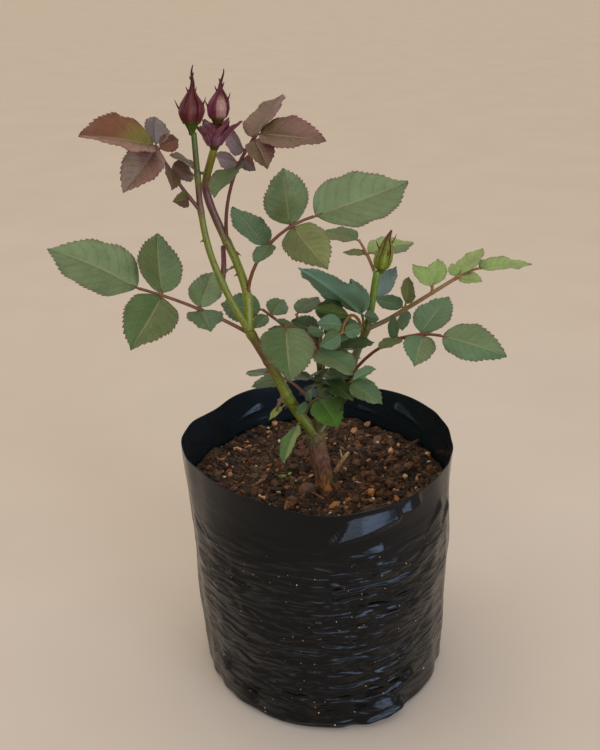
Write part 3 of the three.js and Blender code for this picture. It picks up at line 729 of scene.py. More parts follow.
# A dry twig with one side spur, stuck in the compost beside the trunk.
TWIG_FOOT = np.array([6.0, 9.0, 129.5])
TWIG_TOP, TWIG_SPUR = np.array([9.0, 6.0, 12.0]), np.array([-1.5, 2.0, 7.0])
TWIG_ROWS, TWIG_AROUND = 12, 10
steps = np.linspace(0, 1, TWIG_ROWS)
twig_tone = tone_along([(0, "#a8703a"), (0.4, "#c8985c"), (1, "#dcc48c")], steps)
twig_run = TWIG_FOOT + steps[:, None] * TWIG_TOP
twig_run[:, 2] += 1.2 * np.sin(math.pi * steps)
spur_run = twig_run[TWIG_ROWS // 2] + steps[:, None] * TWIG_SPUR
dry_twig = joined("dry_twig", [
    tube(twig_run, 1.6 - 0.6 * steps + 0.12 * np.sin(np.arange(TWIG_ROWS)), TWIG_AROUND, twig_tone),
    tube(spur_run, 0.8 - 0.4 * steps, TWIG_AROUND, twig_tone)], [bark])
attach(dry_twig, "root")


# ---------------------------------------------------------------------------------------
# The stems and shoots: smooth green wood that grows out of the trunk and forks. The young
# shoots are flushed red. Each is a tapering rod with a swelling at every joint, hooked
# prickles, and lenticels in its skin.
# ---------------------------------------------------------------------------------------

STEM_TONES = {  # the share of its length at which each limb has each colour
    # The brown at 0.78 of stem_left is partly its own reddish bark and partly painted shade.
    "stem_left": [(0, "#6d6426"), (0.12, "#747c26"), (0.5, "#7a8222"), (0.78, "#644424"), (0.9, "#6c5a22"),
                  (1, "#7c8226")],
    "shoot_left": [(0, "#7c8418"), (0.3, "#74801a"), (0.6, "#767a1c"), (0.66, "#70422a"), (0.72, "#66382a"),
                   (0.78, "#6b6a1c"), (0.9, "#5a5a1c"), (1, "#48680f")],
    "shoot_centre": [(0, "#7f8a18"), (0.4, "#80861f"), (0.5, "#776a28"), (0.6, "#6f4030"), (0.78, "#683236"),
                     (0.86, "#786c1f"), (1, "#878220")],
    "stem_right": [(0, "#515226"), (0.4, "#545c26"), (0.6, "#646e1e"), (0.72, "#605826"), (0.78, "#607a1c"),
                   (1, "#76902a")],
    "shoot_right": [(0, "#5c6a2c"), (0.2, "#7d6a33"), (1, "#916a36")],
    "stem_middle": [(0, "#5a4a2a"), (0.3, "#4e5826"), (1, "#5b6a2c")],
    "petiole_dark": [(0, "#6a3a30"), (0.5, "#6d3038"), (1, "#5c2a30")],
    "petiole_stub": [(0, "#5b5a28"), (0.6, "#6a4a2c"), (1, "#4c3322")],
}
JOINTS = {  # the shares where leaves or shoots leave each limb
    "stem_left": [0.42, 0.72, 0.96], "shoot_left": [0.28, 0.64, 0.8], "shoot_centre": [0.17, 0.48, 0.8],
    "stem_right": [0.3, 0.45, 0.67], "shoot_right": [0.4, 0.75], "stem_middle": [0.22, 0.3, 0.62],
}
PRICKLES = [  # limb, share along it, heading, length
    ("shoot_left", 0.5, 175, 2.6), ("shoot_left", 0.33, 20, 2.2), ("shoot_centre", 0.3, 170, 2.8),
    ("shoot_centre", 0.42, 10, 3.6), ("stem_left", 0.63, 170, 4.4), ("stem_left", 0.3, 175, 3.6),
    ("stem_left", 0.5, 20, 3.2), ("stem_right", 0.36, 190, 3.2), ("stem_right", 0.5, 10, 2.4),
    ("stem_left", 0.2, 95, 3.4), ("stem_left", 0.75, 80, 3.0), ("stem_right", 0.2, 110, 3.2),
    ("stem_middle", 0.4, 200, 2.4), ("shoot_right", 0.3, 200, 1.8), ("shoot_centre", 0.6, 100, 2.2),
]


def prickle(root, outward, long, tone):
    """A hooked prickle with a long flat foot, bending down at its tip."""
    steps = np.linspace(0, 1, 7)[:, None]
    path = root + outward * long * steps + np.array([0, 0, -0.45]) * long * steps ** 2
    radii = 0.42 * long * (1 - np.linspace(0, 1, 7)) ** 1.5 + 0.06
    tint = tone_along([(0, tone), (0.35, "#6b3a2a"), (1, "#7a4a34")], np.linspace(0, 1, 7))
    return tube(path, radii, 8, tint)


# Waxy young rind: half glossy, streaked along its length, freckled with tiny lenticels.
rind, tree, place = new_tree("green_rose_rind")
streaks = cloud(tree, stretched(tree, place, 700.0, 120.0), 1.0, 3.0)
freckle = node(tree, "ShaderNodeTexVoronoi", {"Vector": place, "Scale": 520.0}).outputs["Distance"]
spotted = mix(tree, ranged(tree, freckle, 0.12, 0.3), "#a58a70", mix(tree, streaks, "#b8b0a0", "#ffffff"))
cover(tree, {
    "Base Color": mix(tree, 1.0, painted(tree), spotted, "MULTIPLY"),
    "Roughness": 0.42, "Normal": bumped(tree, streaks, 0.25, 0.0003)})

STEM_ROWS, STEM_AROUND = 90, 16
for name, limb in LIMBS.items():
    if name == "trunk":
        continue
    run = limb_run(name, STEM_ROWS)
    share = np.linspace(0, 1, len(run))
    radii = girth(limb, share)
    for joint in JOINTS.get(name, ()):
        radii = radii * (1 + 0.14 * np.exp(-((share - joint) / 0.022) ** 2))
    if limb["on"] != "trunk":
        radii = radii * (1 + 0.25 * np.exp(-share / 0.03))
    radii = radii * (1 + 0.03 * noise(share * 17, share * 0, 50 + len(name)))
    parts = [tube(run, radii, STEM_AROUND, tone_along(STEM_TONES[name], share))]
    for owner, at, heading, long in PRICKLES:
        if owner == name:
            outward = heading_rise(heading, -8)
            foot = limb_place(name, at) + outward * girth(limb, at) * 0.7
            parts.append(prickle(foot, outward, long, STEM_TONES[name][0][1]))
    stem = joined(name + "_wood", parts, [rind])
    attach(stem, "root")
    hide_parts(name)


# ---------------------------------------------------------------------------------------
# The leaves: each a slim reddish rachis with toothed leaflets in pairs along it and one at
# its end. The blades are thin, quilted between their veins, and folded a little along the
# midrib. Young ones are bronze and mauve.
# ---------------------------------------------------------------------------------------

LEFT, RIGHT, END = -1, 1, 0

# Each leaf has its slot, the limb it is on, its share along that, its length and its
# stalk's hue, and then in degrees the heading and rise of its foot, its droop and swing
# towards its tip, and its roll. A blade has a side, a share along the rachis, a length, an
# angle from the rachis, a lift and a twist in degrees, and the hues of its right and its
# left half, with those of its tip after them where they differ. These hues differ partly in
# the leaf's own colour and partly by painted light: a half that faces the sky is given a
# paler, greyer hue as painted sheen, and one turned away a darker hue as painted shade.
LEAVES = {
    "leaf_far_left": ("leaf_green", "stem_left", 0.96, 68, "wine", 189, 35, 18, -8, 19, [
        (END, 1, 55, 13, 5, 10, "mist sage"), (RIGHT, 0.81, 39, 71, 24, -5, "sage moss"),
        (LEFT, 0.81, 43, 79, 1, -3, "green moss"), (RIGHT, 0.49, 28, 90, 18, 21, "mist sage"),
        (LEFT, 0.48, 29, 97, 28, -25, "green sea")]),
    "leaf_bronze_left": ("leaf_bronze", "shoot_left", 0.64, 41, "plum", 186, 51, -13, -15, 16, [
        (END, 1, 45, -57, -5, -27, "brass cocoa rust blush"),
        (LEFT, 0.98, 33, 104, -10, -44, "mauve mauve dusty blush"),
        (RIGHT, 1, 22, 53, -8, 24, "slate slate"), (RIGHT, 0.95, 16, 91, 15, 10, "russet russet"),
        (LEFT, 0.71, 17, 123, 20, -6, "mauve umber"), (RIGHT, 0.67, 19, 123, 7, -1, "mauve mauve"),
        (LEFT, 0.23, 14, 70, 0, 20, "khaki umber")]),
    "leaf_bronze_right": ("leaf_bronze", "shoot_centre", 0.48, 65, "plum", -6, 95, 44, -7, -33, [
        (END, 1, 37, 39, -30, 19, "cocoa umber cocoa mauve"),
        (LEFT, 0.94, 37, 55, -15, -12, "mauve cocoa"), (RIGHT, 0.95, 23, 90, -5, 45, "umber mauve"),
        (RIGHT, 0.76, 12, 88, -12, 6, "slate mauve"), (LEFT, 0.71, 17, 114, 29, 34, "lilac lilac"),
        (RIGHT, 0.68, 30, 111, 38, 34, "sage sea"), (LEFT, 0.82, 23, 92, 23, 29, "lilac lilac")]),
    "leaf_upper_right": ("leaf_green", "shoot_centre", 0.17, 63, "wine", 2, 88, 74, 8, -23, [
        (END, 1, 60, -13, -1, -8, "sage mist"), (LEFT, 0.78, 38, 69, 19, -9, "sage moss mist sage"),
        (RIGHT, 0.8, 37, 80, -1, 12, "olive straw"), (LEFT, 0.51, 32, 81, 27, -64, "sea sea"),
        (RIGHT, 0.56, 19, 125, 32, 19, "sea green")]),
    "leaf_right_top": ("leaf_olive", "stem_right", 0.97, 30, "amber", 110, 40, 21, 1, 4, [
        (END, 1, 27, -34, -6, -3, "green olive"), (RIGHT, 0.58, 32, 81, 2, 16, "sage lime"),
        (LEFT, 0.56, 14, 50, -12, -15, "olive olive")]),
    "leaf_right_low": ("leaf_grey", "stem_right", 0.29, 87, "wine", -15, 70, 61, -32, -24, [
        (END, 1, 37, -13, -18, -9, "sea sage"), (LEFT, 0.83, 32, 81, 6, -25, "sea sea"),
        (RIGHT, 0.86, 27, 66, 5, 37, "sea sage"), (RIGHT, 0.68, 18, 100, 30, 19, "moss moss"),
        (LEFT, 0.65, 16, 115, 32, 26, "sea sea")]),
    "leaf_grey_left": ("leaf_grey", "stem_right", 0.65, 13, "olive", 218, 77, 2, 9, -3, [
        (END, 1, 49, 30, -18, 6, "sea sea teal teal"), (RIGHT, 0.92, 22, 25, 18, -24, "sea sea"),
        (LEFT, 0.94, 12, 84, 2, 15, "sea sea")]),
    "leaf_arch": ("leaf_olive", "stem_right", 0.61, 46, "amber", 225, 94, 135, 32, 32, [
        (END, 1, 17, 41, 10, 23, "green sea"), (LEFT, 1, 13, 122, 4, -16, "sea green"),
        (RIGHT, 0.88, 17, 57, 10, 17, "sea sea"), (RIGHT, 0.61, 21, 51, -11, 5, "moss green")]),
    "leaf_front": ("leaf_green", "stem_middle", 0.98, 35, "wine", 219, 59, 40, 10, -6, [
        (END, 1, 44, -48, -27, -4, "green sage"), (RIGHT, 0.71, 13, 77, 13, -22, "green green"),
        (LEFT, 0.47, 13, 84, 17, 21, "sea sea")]),
    "leaf_centre_left": ("leaf_green", "stem_middle", 0.91, 43, "wine", 160, 37, 12, -11, 17, [
        (END, 1, 27, -18, -19, 31, "sea green"), (LEFT, 0.9, 13, 90, 0, -7, "green sea"),
        (RIGHT, 0.85, 20, 77, -8, -1, "sea green")]),
    "leaf_centre_back": ("leaf_green", "stem_middle", 0.84, 38, "wine", 123, 45, 33, -16, -10, [
        (END, 1, 22, 51, 17, 11, "deep green"), (RIGHT, 0.87, 11, 86, -26, -28, "deep green")]),
    "leaf_front_right": ("leaf_green", "stem_middle", 0.74, 22, "olive", -120, 70, 28, 42, -6, [
        (END, 1, 34, -18, -35, -6, "sage sea")]),
    "leaf_low_right": ("leaf_green", "trunk", 0.99, 52, "olive", -34, 57, -4, -18, -7, [
        (END, 1, 24, 7, -66, -2, "sage sea"), (LEFT, 1, 18, 84, 2, 8, "green grass"),
        (RIGHT, 0.78, 16, 83, -19, 39, "grass green")]),
    "leaf_low_front": ("leaf_fresh", "stem_left", 0.16, 22, "olive", -41, 83, 48, 1, -16, [
        (END, 1, 28, 44, -23, 15, "grass grass"), (LEFT, 0.64, 10, 85, 44, -15, "grass deep"),
        (RIGHT, 0.59, 12, 90, 20, -30, "grass deep")]),
    "leaf_low_left": ("leaf_fresh", "stem_left", 0.15, 5, "olive", 210, 2, 8, 11, -16, [
        (END, 1, 27, -19, -23, -21, "grass lime")]),
    "leaf_shoot_middle": ("leaf_fresh", "shoot_right", 0.74, 4, "amber", 81, 47, 9, -6, -7, [
        (END, 1, 21, 0, 0, 15, "fresh fresh"), (LEFT, 0.9, 19, 42, 5, -19, "fresh lime")]),
    "leaf_shoot_end": ("leaf_fresh", "shoot_right", 1, 15, "amber", 9, 28, 9, -1, -10, [
        (END, 1, 35, -5, -14, 8, "fresh fresh"), (LEFT, 0.16, 26, 33, 7, 7, "lime lime"),
        (RIGHT, 0.14, 16, 53, 3, 6, "fresh lime"), (LEFT, 0.1, 11, 78, 20, -7, "fresh fresh")]),
    "leaf_shoot_base": ("leaf_grey", "shoot_right", 0.42, 4, "amber", 74, 19, -3, -5, -39, [
        (END, 1, 19, -16, 16, -15, "ochre ochre"), (LEFT, 0.5, 19, 73, -30, 15, "sea sea"),
        (RIGHT, 0.5, 15, 114, -48, -23, "green sea")]),
    "leaf_grey_tip": ("leaf_grey", "stem_right", 0.81, 4, "olive", 43, 33, -7, -3, -1, [
        (END, 1, 23, -2, 11, 0, "steel steel")]),
    "leaf_bract": ("leaf_olive", "shoot_centre", 0.87, 4, "olive", 221, -9, -12, 9, 12, [
        (END, 1, 25, 5, 34, 12, "umber khaki")]),
    "leaf_back_high": ("leaf_green", "stem_middle", 0.62, 38, "wine", 76, 34, 40, 10, 0, [
        (END, 1, 32, 0, -8, 0, "green sea"), (LEFT, 0.8, 26, 66, 0, 0, "green green"),
        (RIGHT, 0.8, 20, 60, 0, 0, "sea green")]),
    "leaf_back_left": ("leaf_green", "stem_middle", 0.3, 40, "wine", 128, 36, 36, 10, 0, [
        (END, 1, 26, 0, -8, 0, "deep green"), (LEFT, 0.8, 21, 66, 0, 0, "green deep"),
        (RIGHT, 0.8, 21, 66, 0, 0, "sea deep")]),
    "leaf_back_right": ("leaf_green", "stem_middle", 0.22, 42, "wine", 66, 38, 40, -8, 0, [
        (END, 1, 26, 0, -8, 0, "green deep"), (LEFT, 0.8, 20, 66, 0, 0, "deep green"),
        (RIGHT, 0.8, 20, 66, 0, 0, "green sea")]),
}
LEAF_KEYS = ("on", "at", "long", "stalk", "heading", "rise", "droop", "swing", "roll", "blades")

# Some hues hold painted light. Mist, sage and teal are greyer or bluer than the leaves' own green, and blush
# and dusty paler than the bronze leaves' own colour: part of each is a painted sheen of the sky on a glossy
# skin. Deep is a dark green that is partly painted shade, for leaves and halves that lie in shade.
HUES = {
    "mist": "#72885a", "sage": "#5f7446", "moss": "#54622a", "green": "#46622b", "sea": "#4c6e46",
    "steel": "#7c9490", "ochre": "#5a5e10", "rose": "#92505c", "lilac": "#9a808c", "brass": "#7c6a16",
    "teal": "#6a947e", "deep": "#2c4d12", "olive": "#5f6628", "straw": "#7f8448", "fresh": "#88a454",
    "lime": "#90a85c", "rust": "#74380f", "blush": "#98695c", "dusty": "#947868", "umber": "#5c3c1c",
    "cocoa": "#704a36", "mauve": "#7c4f46", "russet": "#723014", "khaki": "#625622",
    "slate": "#6c5c62", "grass": "#4a7a1a", "sprout": "#8a941e",
}
STALK_HUES = {"wine": "#784424", "plum": "#6a3428", "amber": "#94662e", "olive": "#6c6a2c"}
MARGIN, BRONZE_MARGIN = "#5a3222", "#6e1e22"
FOLD = 8  # degrees that each half of a blade folds up along the midrib
BRONZE_FOLDS = {"leaf_bronze_left": 20, "leaf_bronze_right": 16}
BLADE_RATIO, BLADE_CURL, BLADE_STALK, BLADE_THICK = 0.68, math.radians(14), 1.5, 0.32
TOOTH, TOOTH_PEAK = 2.6, 0.9  # a tooth's length in mm, and how far along it its point is
# How far the quilts, the groove of the midrib, the waves, the ripples, the cup, the bend
# and the rib below stand out of the plain sheet, as shares of a blade's length.
QUILT, GROOVE, WAVE, RIPPLE, CUP, BEND, RIB = 0.017, 0.01, 0.016, 0.01, 0.02, 0.03, 0.014
VEIN_PAIRS, VEIN_SLANT, VEIN_BOW, VEIN_START = 8, 0.25, 1.5, 0.25
COLUMNS = np.array([-1, -0.94, -0.8, -0.62, -0.42, -0.22, -0.06, 0, 0.06, 0.22, 0.42, 0.62, 0.8, 0.94, 1])
RACHIS_STEPS = 12


def rachis_direction(leaf, share):
    return heading_rise(leaf["heading"] + leaf["swing"] * share, leaf["rise"] - leaf["droop"] * share)


def rachis_sides(leaf, share):
    """Along the rachis, to its right and to its upper side."""
    along = rachis_direction(leaf, share)
    level = np.cross(along, (0, 0, 1))
    level /= np.linalg.norm(level)
    above = np.cross(level, along)
    roll = math.radians(leaf["roll"])
    right = level * math.cos(roll) + above * math.sin(roll)
    return along, right, above * math.cos(roll) - level * math.sin(roll)


def thin_sheet(front, back, flip):
    """The points and faces of a thin sheet: two grids of points, joined round their edge.
    The faces turn the other way where `flip` is set."""
    rows, columns = front.shape[:2]
    first = rows * columns
    faces = []
    for start in (0, first):
        for i in range(rows - 1):
            for j in range(columns - 1):
                a = start + i * columns + j
                square = [a, a + 1, a + columns + 1, a + columns]
                faces.append(square[::-1] if flip == (start == 0) else square)
    ring = ([*range(columns)] + [i * columns + columns - 1 for i in range(1, rows)]
            + [(rows - 1) * columns + j for j in range(columns - 2, -1, -1)]
            + [i * columns for i in range(rows - 2, 0, -1)])
    edges = [[a, b, first + b, first + a] for a, b in zip(ring, ring[1:] + ring[:1])]
    faces += edges if flip else [edge[::-1] for edge in edges]
    return np.vstack([front.reshape(-1, 3), back.reshape(-1, 3)]), faces


def blade(chance, root, out, across, face, long, hues, fold, side_lean, margin=MARGIN):
    """One leaflet: an upper and an under skin, joined round a toothed margin."""
    teeth = max(4, round(long / TOOTH))
    rows = [0.004]
    for tooth in range(teeth):
        rows += [(tooth + part) / teeth for part in (0.0, 0.5, TOOTH_PEAK) if tooth + part > 0]
    rows = np.unique(np.clip(rows + [0.985, 0.999], 0.004, 0.999))
    t, u = np.meshgrid(rows, COLUMNS, indexing="ij")
    off = np.abs(u)
    phase = (t * teeth) % 1.0
    saw = np.where(phase < TOOTH_PEAK, phase / TOOTH_PEAK, (1 - phase) / (1 - TOOTH_PEAK))
    saw = saw * np.clip(12 * (1 - t), 0, 1)
    outline = 1.05 * np.sin(math.pi * t ** 0.78) ** 0.72 * (1 - 0.12 * t)
    outline = outline * (1 - 0.3 * ramp(t, 0.76, 0.97))
    half = outline * long * BLADE_RATIO / 2
    tooth_depth = min(1.0, 0.022 * long + 0.12)
    edge = off > 0.99
    reach = half * off + np.where(edge, tooth_depth * (saw - 0.45) * np.clip(half / 3, 0, 1), 0)
    reach = np.maximum(reach, 0.08 * off)
    ahead = np.where(edge, 0.55 * tooth_depth * saw, 0)
    waves = chance.uniform(0, 2 * math.pi, 4)
    warp = 0.016 * noise(t * 6 + waves[2] * 7, u * 1.7 + waves[3] * 5, 62)
    vein = VEIN_PAIRS * (t + warp - VEIN_SLANT * off ** VEIN_BOW) + VEIN_START
    body = np.sin(math.pi * off) ** 0.6
    quilt = QUILT * long * (np.abs(np.sin(math.pi * vein)) ** 0.7 - 0.5) * body * np.clip(half / 4, 0, 1)
    groove = -GROOVE * long * np.exp(-(u / 0.07) ** 2)
    wave = WAVE * long * np.sin(2 * math.pi * 2.2 * t + waves[0] + 1.3 * np.sign(u)) * off ** 2.5
    wave = wave + RIPPLE * long * np.sin(2 * math.pi * 4.1 * t + waves[1] - np.sign(u)) * off ** 4
    cup = -CUP * long * off ** 2 * np.sin(math.pi * t) * chance.uniform(0.3, 1)
    bend = BEND * long * np.sin(math.pi * t) * side_lean
    rise = long * -(1 - np.cos(BLADE_CURL * t)) / BLADE_CURL + off * half * math.sin(fold)
    rise = rise + quilt + groove + wave + cup
    forth = BLADE_STALK + long * np.sin(BLADE_CURL * t) / BLADE_CURL + ahead
    sideways = np.sign(u) * reach * math.cos(fold) + bend
    upper = root + forth[..., None] * out + sideways[..., None] * across + rise[..., None] * face
    thick = BLADE_THICK * (1 - 0.7 * off ** 6) * np.clip(half / 2, 0.4, 1)
    rib = RIB * long * np.exp(-(u / 0.06) ** 2) * (1 - 0.6 * t)
    under = upper - (thick + rib)[..., None] * face
    points, faces = thin_sheet(upper, under, True)
    uppers = (len(rows) - 1) * (len(COLUMNS) - 1)
    material = np.zeros(len(faces), dtype=int)
    material[uppers:2 * uppers] = 1
    uv = np.column_stack([u.ravel(), (t + warp).ravel()])
    # The halves and the tip take their own hues, which hold painted sheen and painted shade as well as the
    # leaf's colour.
    right, left, right_tip, left_tip = (np.array(colour(HUES[hue])) for hue in (hues.split() * 2)[:4])
    half_way = ramp(u, -0.05, 0.05)[..., None]
    tipward = ramp(t + 0.35 * off, 0.3, 0.65)[..., None]
    tint = blend(blend(left, left_tip, tipward), blend(right, right_tip, tipward), half_way)
    patch = 0.5 + 0.5 * noise(u * 1.6 + waves[2] * 9, t * 3.2 + waves[3] * 9, 61)
    drift = 0.5 + 0.5 * noise(u * 3.4 + waves[0] * 9, t * 7 + waves[1] * 9, 63)
    tint = tint * (0.8 + 0.27 * patch[..., None] + 0.14 * drift[..., None])
    rim = (0.6 * np.clip((off - 0.9) / 0.1, 0, 1) + 0.35 * ramp(t, 0.95, 1))[..., None]
    strong, most = (1, 0.7) if margin == MARGIN else (1.5, 0.95)
    tint = blend(tint, margin, np.clip(rim * strong, 0, most))
    tint[..., 3] = 1
    tints = tint.reshape(-1, 4)
    return {"points": points, "faces": faces, "material": material, "uv": np.vstack([uv, uv]),
            "tint": np.vstack([tints, tints])}


def vein_net(tree, place):
    """How far each place is from a net of fine veins."""
    links = {"Vector": place, "Scale": 760.0}
    return node(tree, "ShaderNodeTexVoronoi", links, feature="DISTANCE_TO_EDGE").outputs["Distance"]


# The upper skin of a leaf: waxy and half glossy, with a net of small veins, a pale midrib
# and side veins sunk between the quilts, painted darker as painted shade in their grooves.
leaf_top, tree, place = new_tree("rose_leaf_upper_skin")
on_blade = node(tree, "ShaderNodeUVMap", uv_map="UVMap").outputs[0]
u, t, _ = node(tree, "ShaderNodeSeparateXYZ", {"Vector": on_blade}).outputs
across = maths(tree, "ABSOLUTE", u)
slant = maths(tree, "MULTIPLY_ADD", maths(tree, "POWER", across, VEIN_BOW), -VEIN_SLANT, t)
count = maths(tree, "MULTIPLY_ADD", slant, float(VEIN_PAIRS), VEIN_START)
beside = maths(tree, "PINGPONG", count, 0.5)
side_veins = ranged(tree, beside, 0.0, 0.2, 1.0, 0.0, interpolation_type="SMOOTHSTEP")
midrib = ranged(tree, across, 0.015, 0.06, 1.0, 0.0, interpolation_type="SMOOTHSTEP")
net = vein_net(tree, place)
mesh_lines = ranged(tree, net, 0.0, 0.12, 1.0, 0.0)
blotch = cloud(tree, place, 140.0, 4.0)
tone = mix(tree, 1.0, painted(tree), mix(tree, blotch, "#c6c9b8", "#ffffff"), "MULTIPLY")
# The side veins' dark colour is painted shade in the grooves between the quilts.
VEIN_TONES = [(mesh_lines, 0.12, "#8f9a6c"), (side_veins, 0.2, "#3c4426"), (midrib, 0.28, "#a89c68")]
for lines, most, tint in VEIN_TONES:
    tone = mix(tree, maths(tree, "MULTIPLY", lines, most), tone, tint)
relief = maths(tree, "ADD", maths(tree, "MAXIMUM", side_veins, midrib), mesh_lines)
cover(tree, {
    "Base Color": tone, "Roughness": ranged(tree, blotch, 0.0, 1.0, 0.3, 0.5),
    "Normal": bumped(tree, relief, 0.45, 0.00035, invert=True), "Specular IOR Level": 0.5})

# The under skin: paler, greyer and matt, with raised veins.
leaf_under, tree, place = new_tree("rose_leaf_under_skin")
net = vein_net(tree, place)
pale = mix(tree, 0.4, painted(tree), "#74896a")
cover(tree, {
    "Base Color": mix(tree, ranged(tree, net, 0.0, 0.3, 0.85), "#5c6b4c", pale),
    "Roughness": 0.68, "Normal": bumped(tree, net, 0.3, 0.0002)})


STALK_AROUND, PETIOLULE_ROWS = 10, 9


def stalk_part(path, radii, hue):
    """A leaf's stalk, or the short stalk of one blade."""
    tint = tone_along([(0, hue), (1, hue)], np.linspace(0, 1, len(path)))
    return tube(path, radii, STALK_AROUND, tint, material=2)


def compound_leaf(name, row):
    """The mesh piece of one whole leaf, from its foot in the limb to its last blade."""
    leaf = dict(zip(LEAF_KEYS, row))
    chance = np.random.default_rng(len(name) * 97 + leaf["heading"] + 400)
    run = [limb_place(leaf["on"], leaf["at"])]
    for i in range(RACHIS_STEPS):
        step = rachis_direction(leaf, (i + 0.5) / RACHIS_STEPS) * leaf["long"] / RACHIS_STEPS
        run.append(run[-1] + step)
    run = np.array(run)

    def on_rachis(share):
        place = share * RACHIS_STEPS
        return np.stack([np.interp(place, np.arange(len(run)), column) for column in run.T], axis=-1)

    share = np.linspace(0, 1, 3 * RACHIS_STEPS + 1)
    hue = STALK_HUES[leaf["stalk"]]
    thick = 1.1 * (1 - 0.3 * share) * (1 + 0.35 * np.exp(-share / 0.04))
    for spot in {blade_at for _, blade_at, *_ in leaf["blades"]}:
        thick = thick * (1 + 0.18 * np.exp(-((share - spot) / 0.03) ** 2))
    parts = [stalk_part(on_rachis(share), thick, hue)]
    fold = math.radians(BRONZE_FOLDS.get(name, FOLD))
    margin = BRONZE_MARGIN if name in BRONZE_FOLDS else MARGIN
    for side, at, long, angle, lift, twist, hues in leaf["blades"]:
        along, right, up = rachis_sides(leaf, at)
        turn = math.radians(angle) * (-1 if side == LEFT else 1)
        out = along * math.cos(turn) + right * math.sin(turn)
        across = np.cross(out, up)
        across /= np.linalg.norm(across)
        lifted = math.radians(lift)
        out = out * math.cos(lifted) + up * math.sin(lifted)
        out /= np.linalg.norm(out)
        face = np.cross(across, out)
        twisted = math.radians(twist)
        across, face = (across * math.cos(twisted) + face * math.sin(twisted),
                        face * math.cos(twisted) - across * math.sin(twisted))
        foot = on_rachis(at)
        ahead = np.linspace(0, BLADE_STALK + 0.07 * long, PETIOLULE_ROWS)[:, None]
        petiolule = foot + out * ahead - face * 0.25
        parts.append(stalk_part(petiolule, np.linspace(0.75, 0.3, PETIOLULE_ROWS), hue))
        parts.append(blade(chance, foot, out, across, face, long, hues, fold, chance.uniform(-1, 1), margin))
    return joined(name + "_blades", parts, [leaf_top, leaf_under, rind])


for name, (slot, *row) in LEAVES.items():
    piece = compound_leaf(name, row)
    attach(piece, "root")
    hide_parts(name)

# Small leaves that stand inside the crown, most of them round the short middle stem, where
# little light falls. Most of them are coloured deep, a painted shade that darkens the middle
# of the crown. Their rows are like those of LEAVES, without a slot.
INNER_LEAVES = {
    "tiny_leaf": ("shoot_centre", 0.34, 4, "olive", 195, 10, 20, 0, 0, [
        (END, 1, 10, 0, -18, 0, "sea sage")]),
    "young_shoot": ("stem_left", 0.33, 5, "olive", 205, 6, 20, 0, 0, [
        (END, 1, 11, 0, -18, 0, "sprout sprout"), (LEFT, 0.5, 8, 110, 0, 10, "sprout sprout"),
        (RIGHT, 0.6, 7, 70, 10, -10, "sprout sprout")]),
    "inner_leaf_crown": ("stem_middle", 0.96, 17, "olive", 78, 70, 30, 0, 0, [
        (END, 1, 24, 10, -20, 0, "deep green"), (LEFT, 0.6, 21, 70, -10, 10, "deep deep"),
        (RIGHT, 0.6, 23, 70, -10, -10, "green deep")]),
    "inner_leaf_crown_left": ("stem_middle", 0.88, 16, "wine", 150, 56, 30, 0, 10, [
        (END, 1, 23, 0, -20, 0, "green deep"), (LEFT, 0.6, 18, 70, 0, 10, "deep deep"),
        (RIGHT, 0.6, 18, 66, 0, -10, "deep green")]),
    "inner_leaf_crown_right": ("stem_middle", 0.82, 15, "wine", 18, 54, 30, 0, -10, [
        (END, 1, 22, 0, -20, 0, "deep deep"), (LEFT, 0.6, 18, 66, 0, 10, "green deep"),
        (RIGHT, 0.6, 17, 70, 0, -10, "deep deep")]),
    "inner_leaf_low": ("stem_middle", 0.62, 12, "olive", 300, 44, 26, 0, 0, [
        (END, 1, 24, 0, -16, 0, "deep deep"), (LEFT, 0.7, 18, 62, 0, 10, "deep deep"),
        (RIGHT, 0.7, 19, 62, 0, -10, "deep deep")]),
    "inner_leaf_right": ("stem_middle", 0.52, 13, "olive", 332, 50, 20, 6, 0, [
        (END, 1, 20, 0, -16, 8, "deep deep"), (LEFT, 0.7, 17, 64, 0, 12, "deep deep"),
        (RIGHT, 0.7, 18, 64, 0, -8, "deep deep")]),
    "inner_leaf_left": ("stem_middle", 0.6, 11, "olive", 236, 54, 16, -6, 0, [
        (END, 1, 22, 0, -14, 0, "deep deep"), (LEFT, 0.7, 17, 66, 0, 8, "deep deep"),
        (RIGHT, 0.7, 13, 66, 0, -12, "deep deep")]),
    "inner_leaf_top": ("stem_middle", 0.74, 10, "olive", 300, 36, 12, 0, 0, [
        (END, 1, 20, 0, -10, 0, "deep deep"), (LEFT, 0.7, 15, 64, 0, 8, "deep deep"),
        (RIGHT, 0.7, 14, 64, 0, -8, "deep deep")]),
}
for name, row in INNER_LEAVES.items():
    piece = compound_leaf(name, row)
    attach(piece, "root")


# ---------------------------------------------------------------------------------------
# The buds: a green hip below, then petals rolled tight round each other, held by five
# sepals that run out together into a long dark tip. The sepals are maroon with a paler
# streak down the middle, and their tips have loose barbs.
# ---------------------------------------------------------------------------------------

def tones(codes):
    """The hues of a bud, from those of its hip, petals, sepals, their streak and their tip."""
    return dict(zip(("hip", "petal", "sepal", "streak", "tip"), codes.split()))


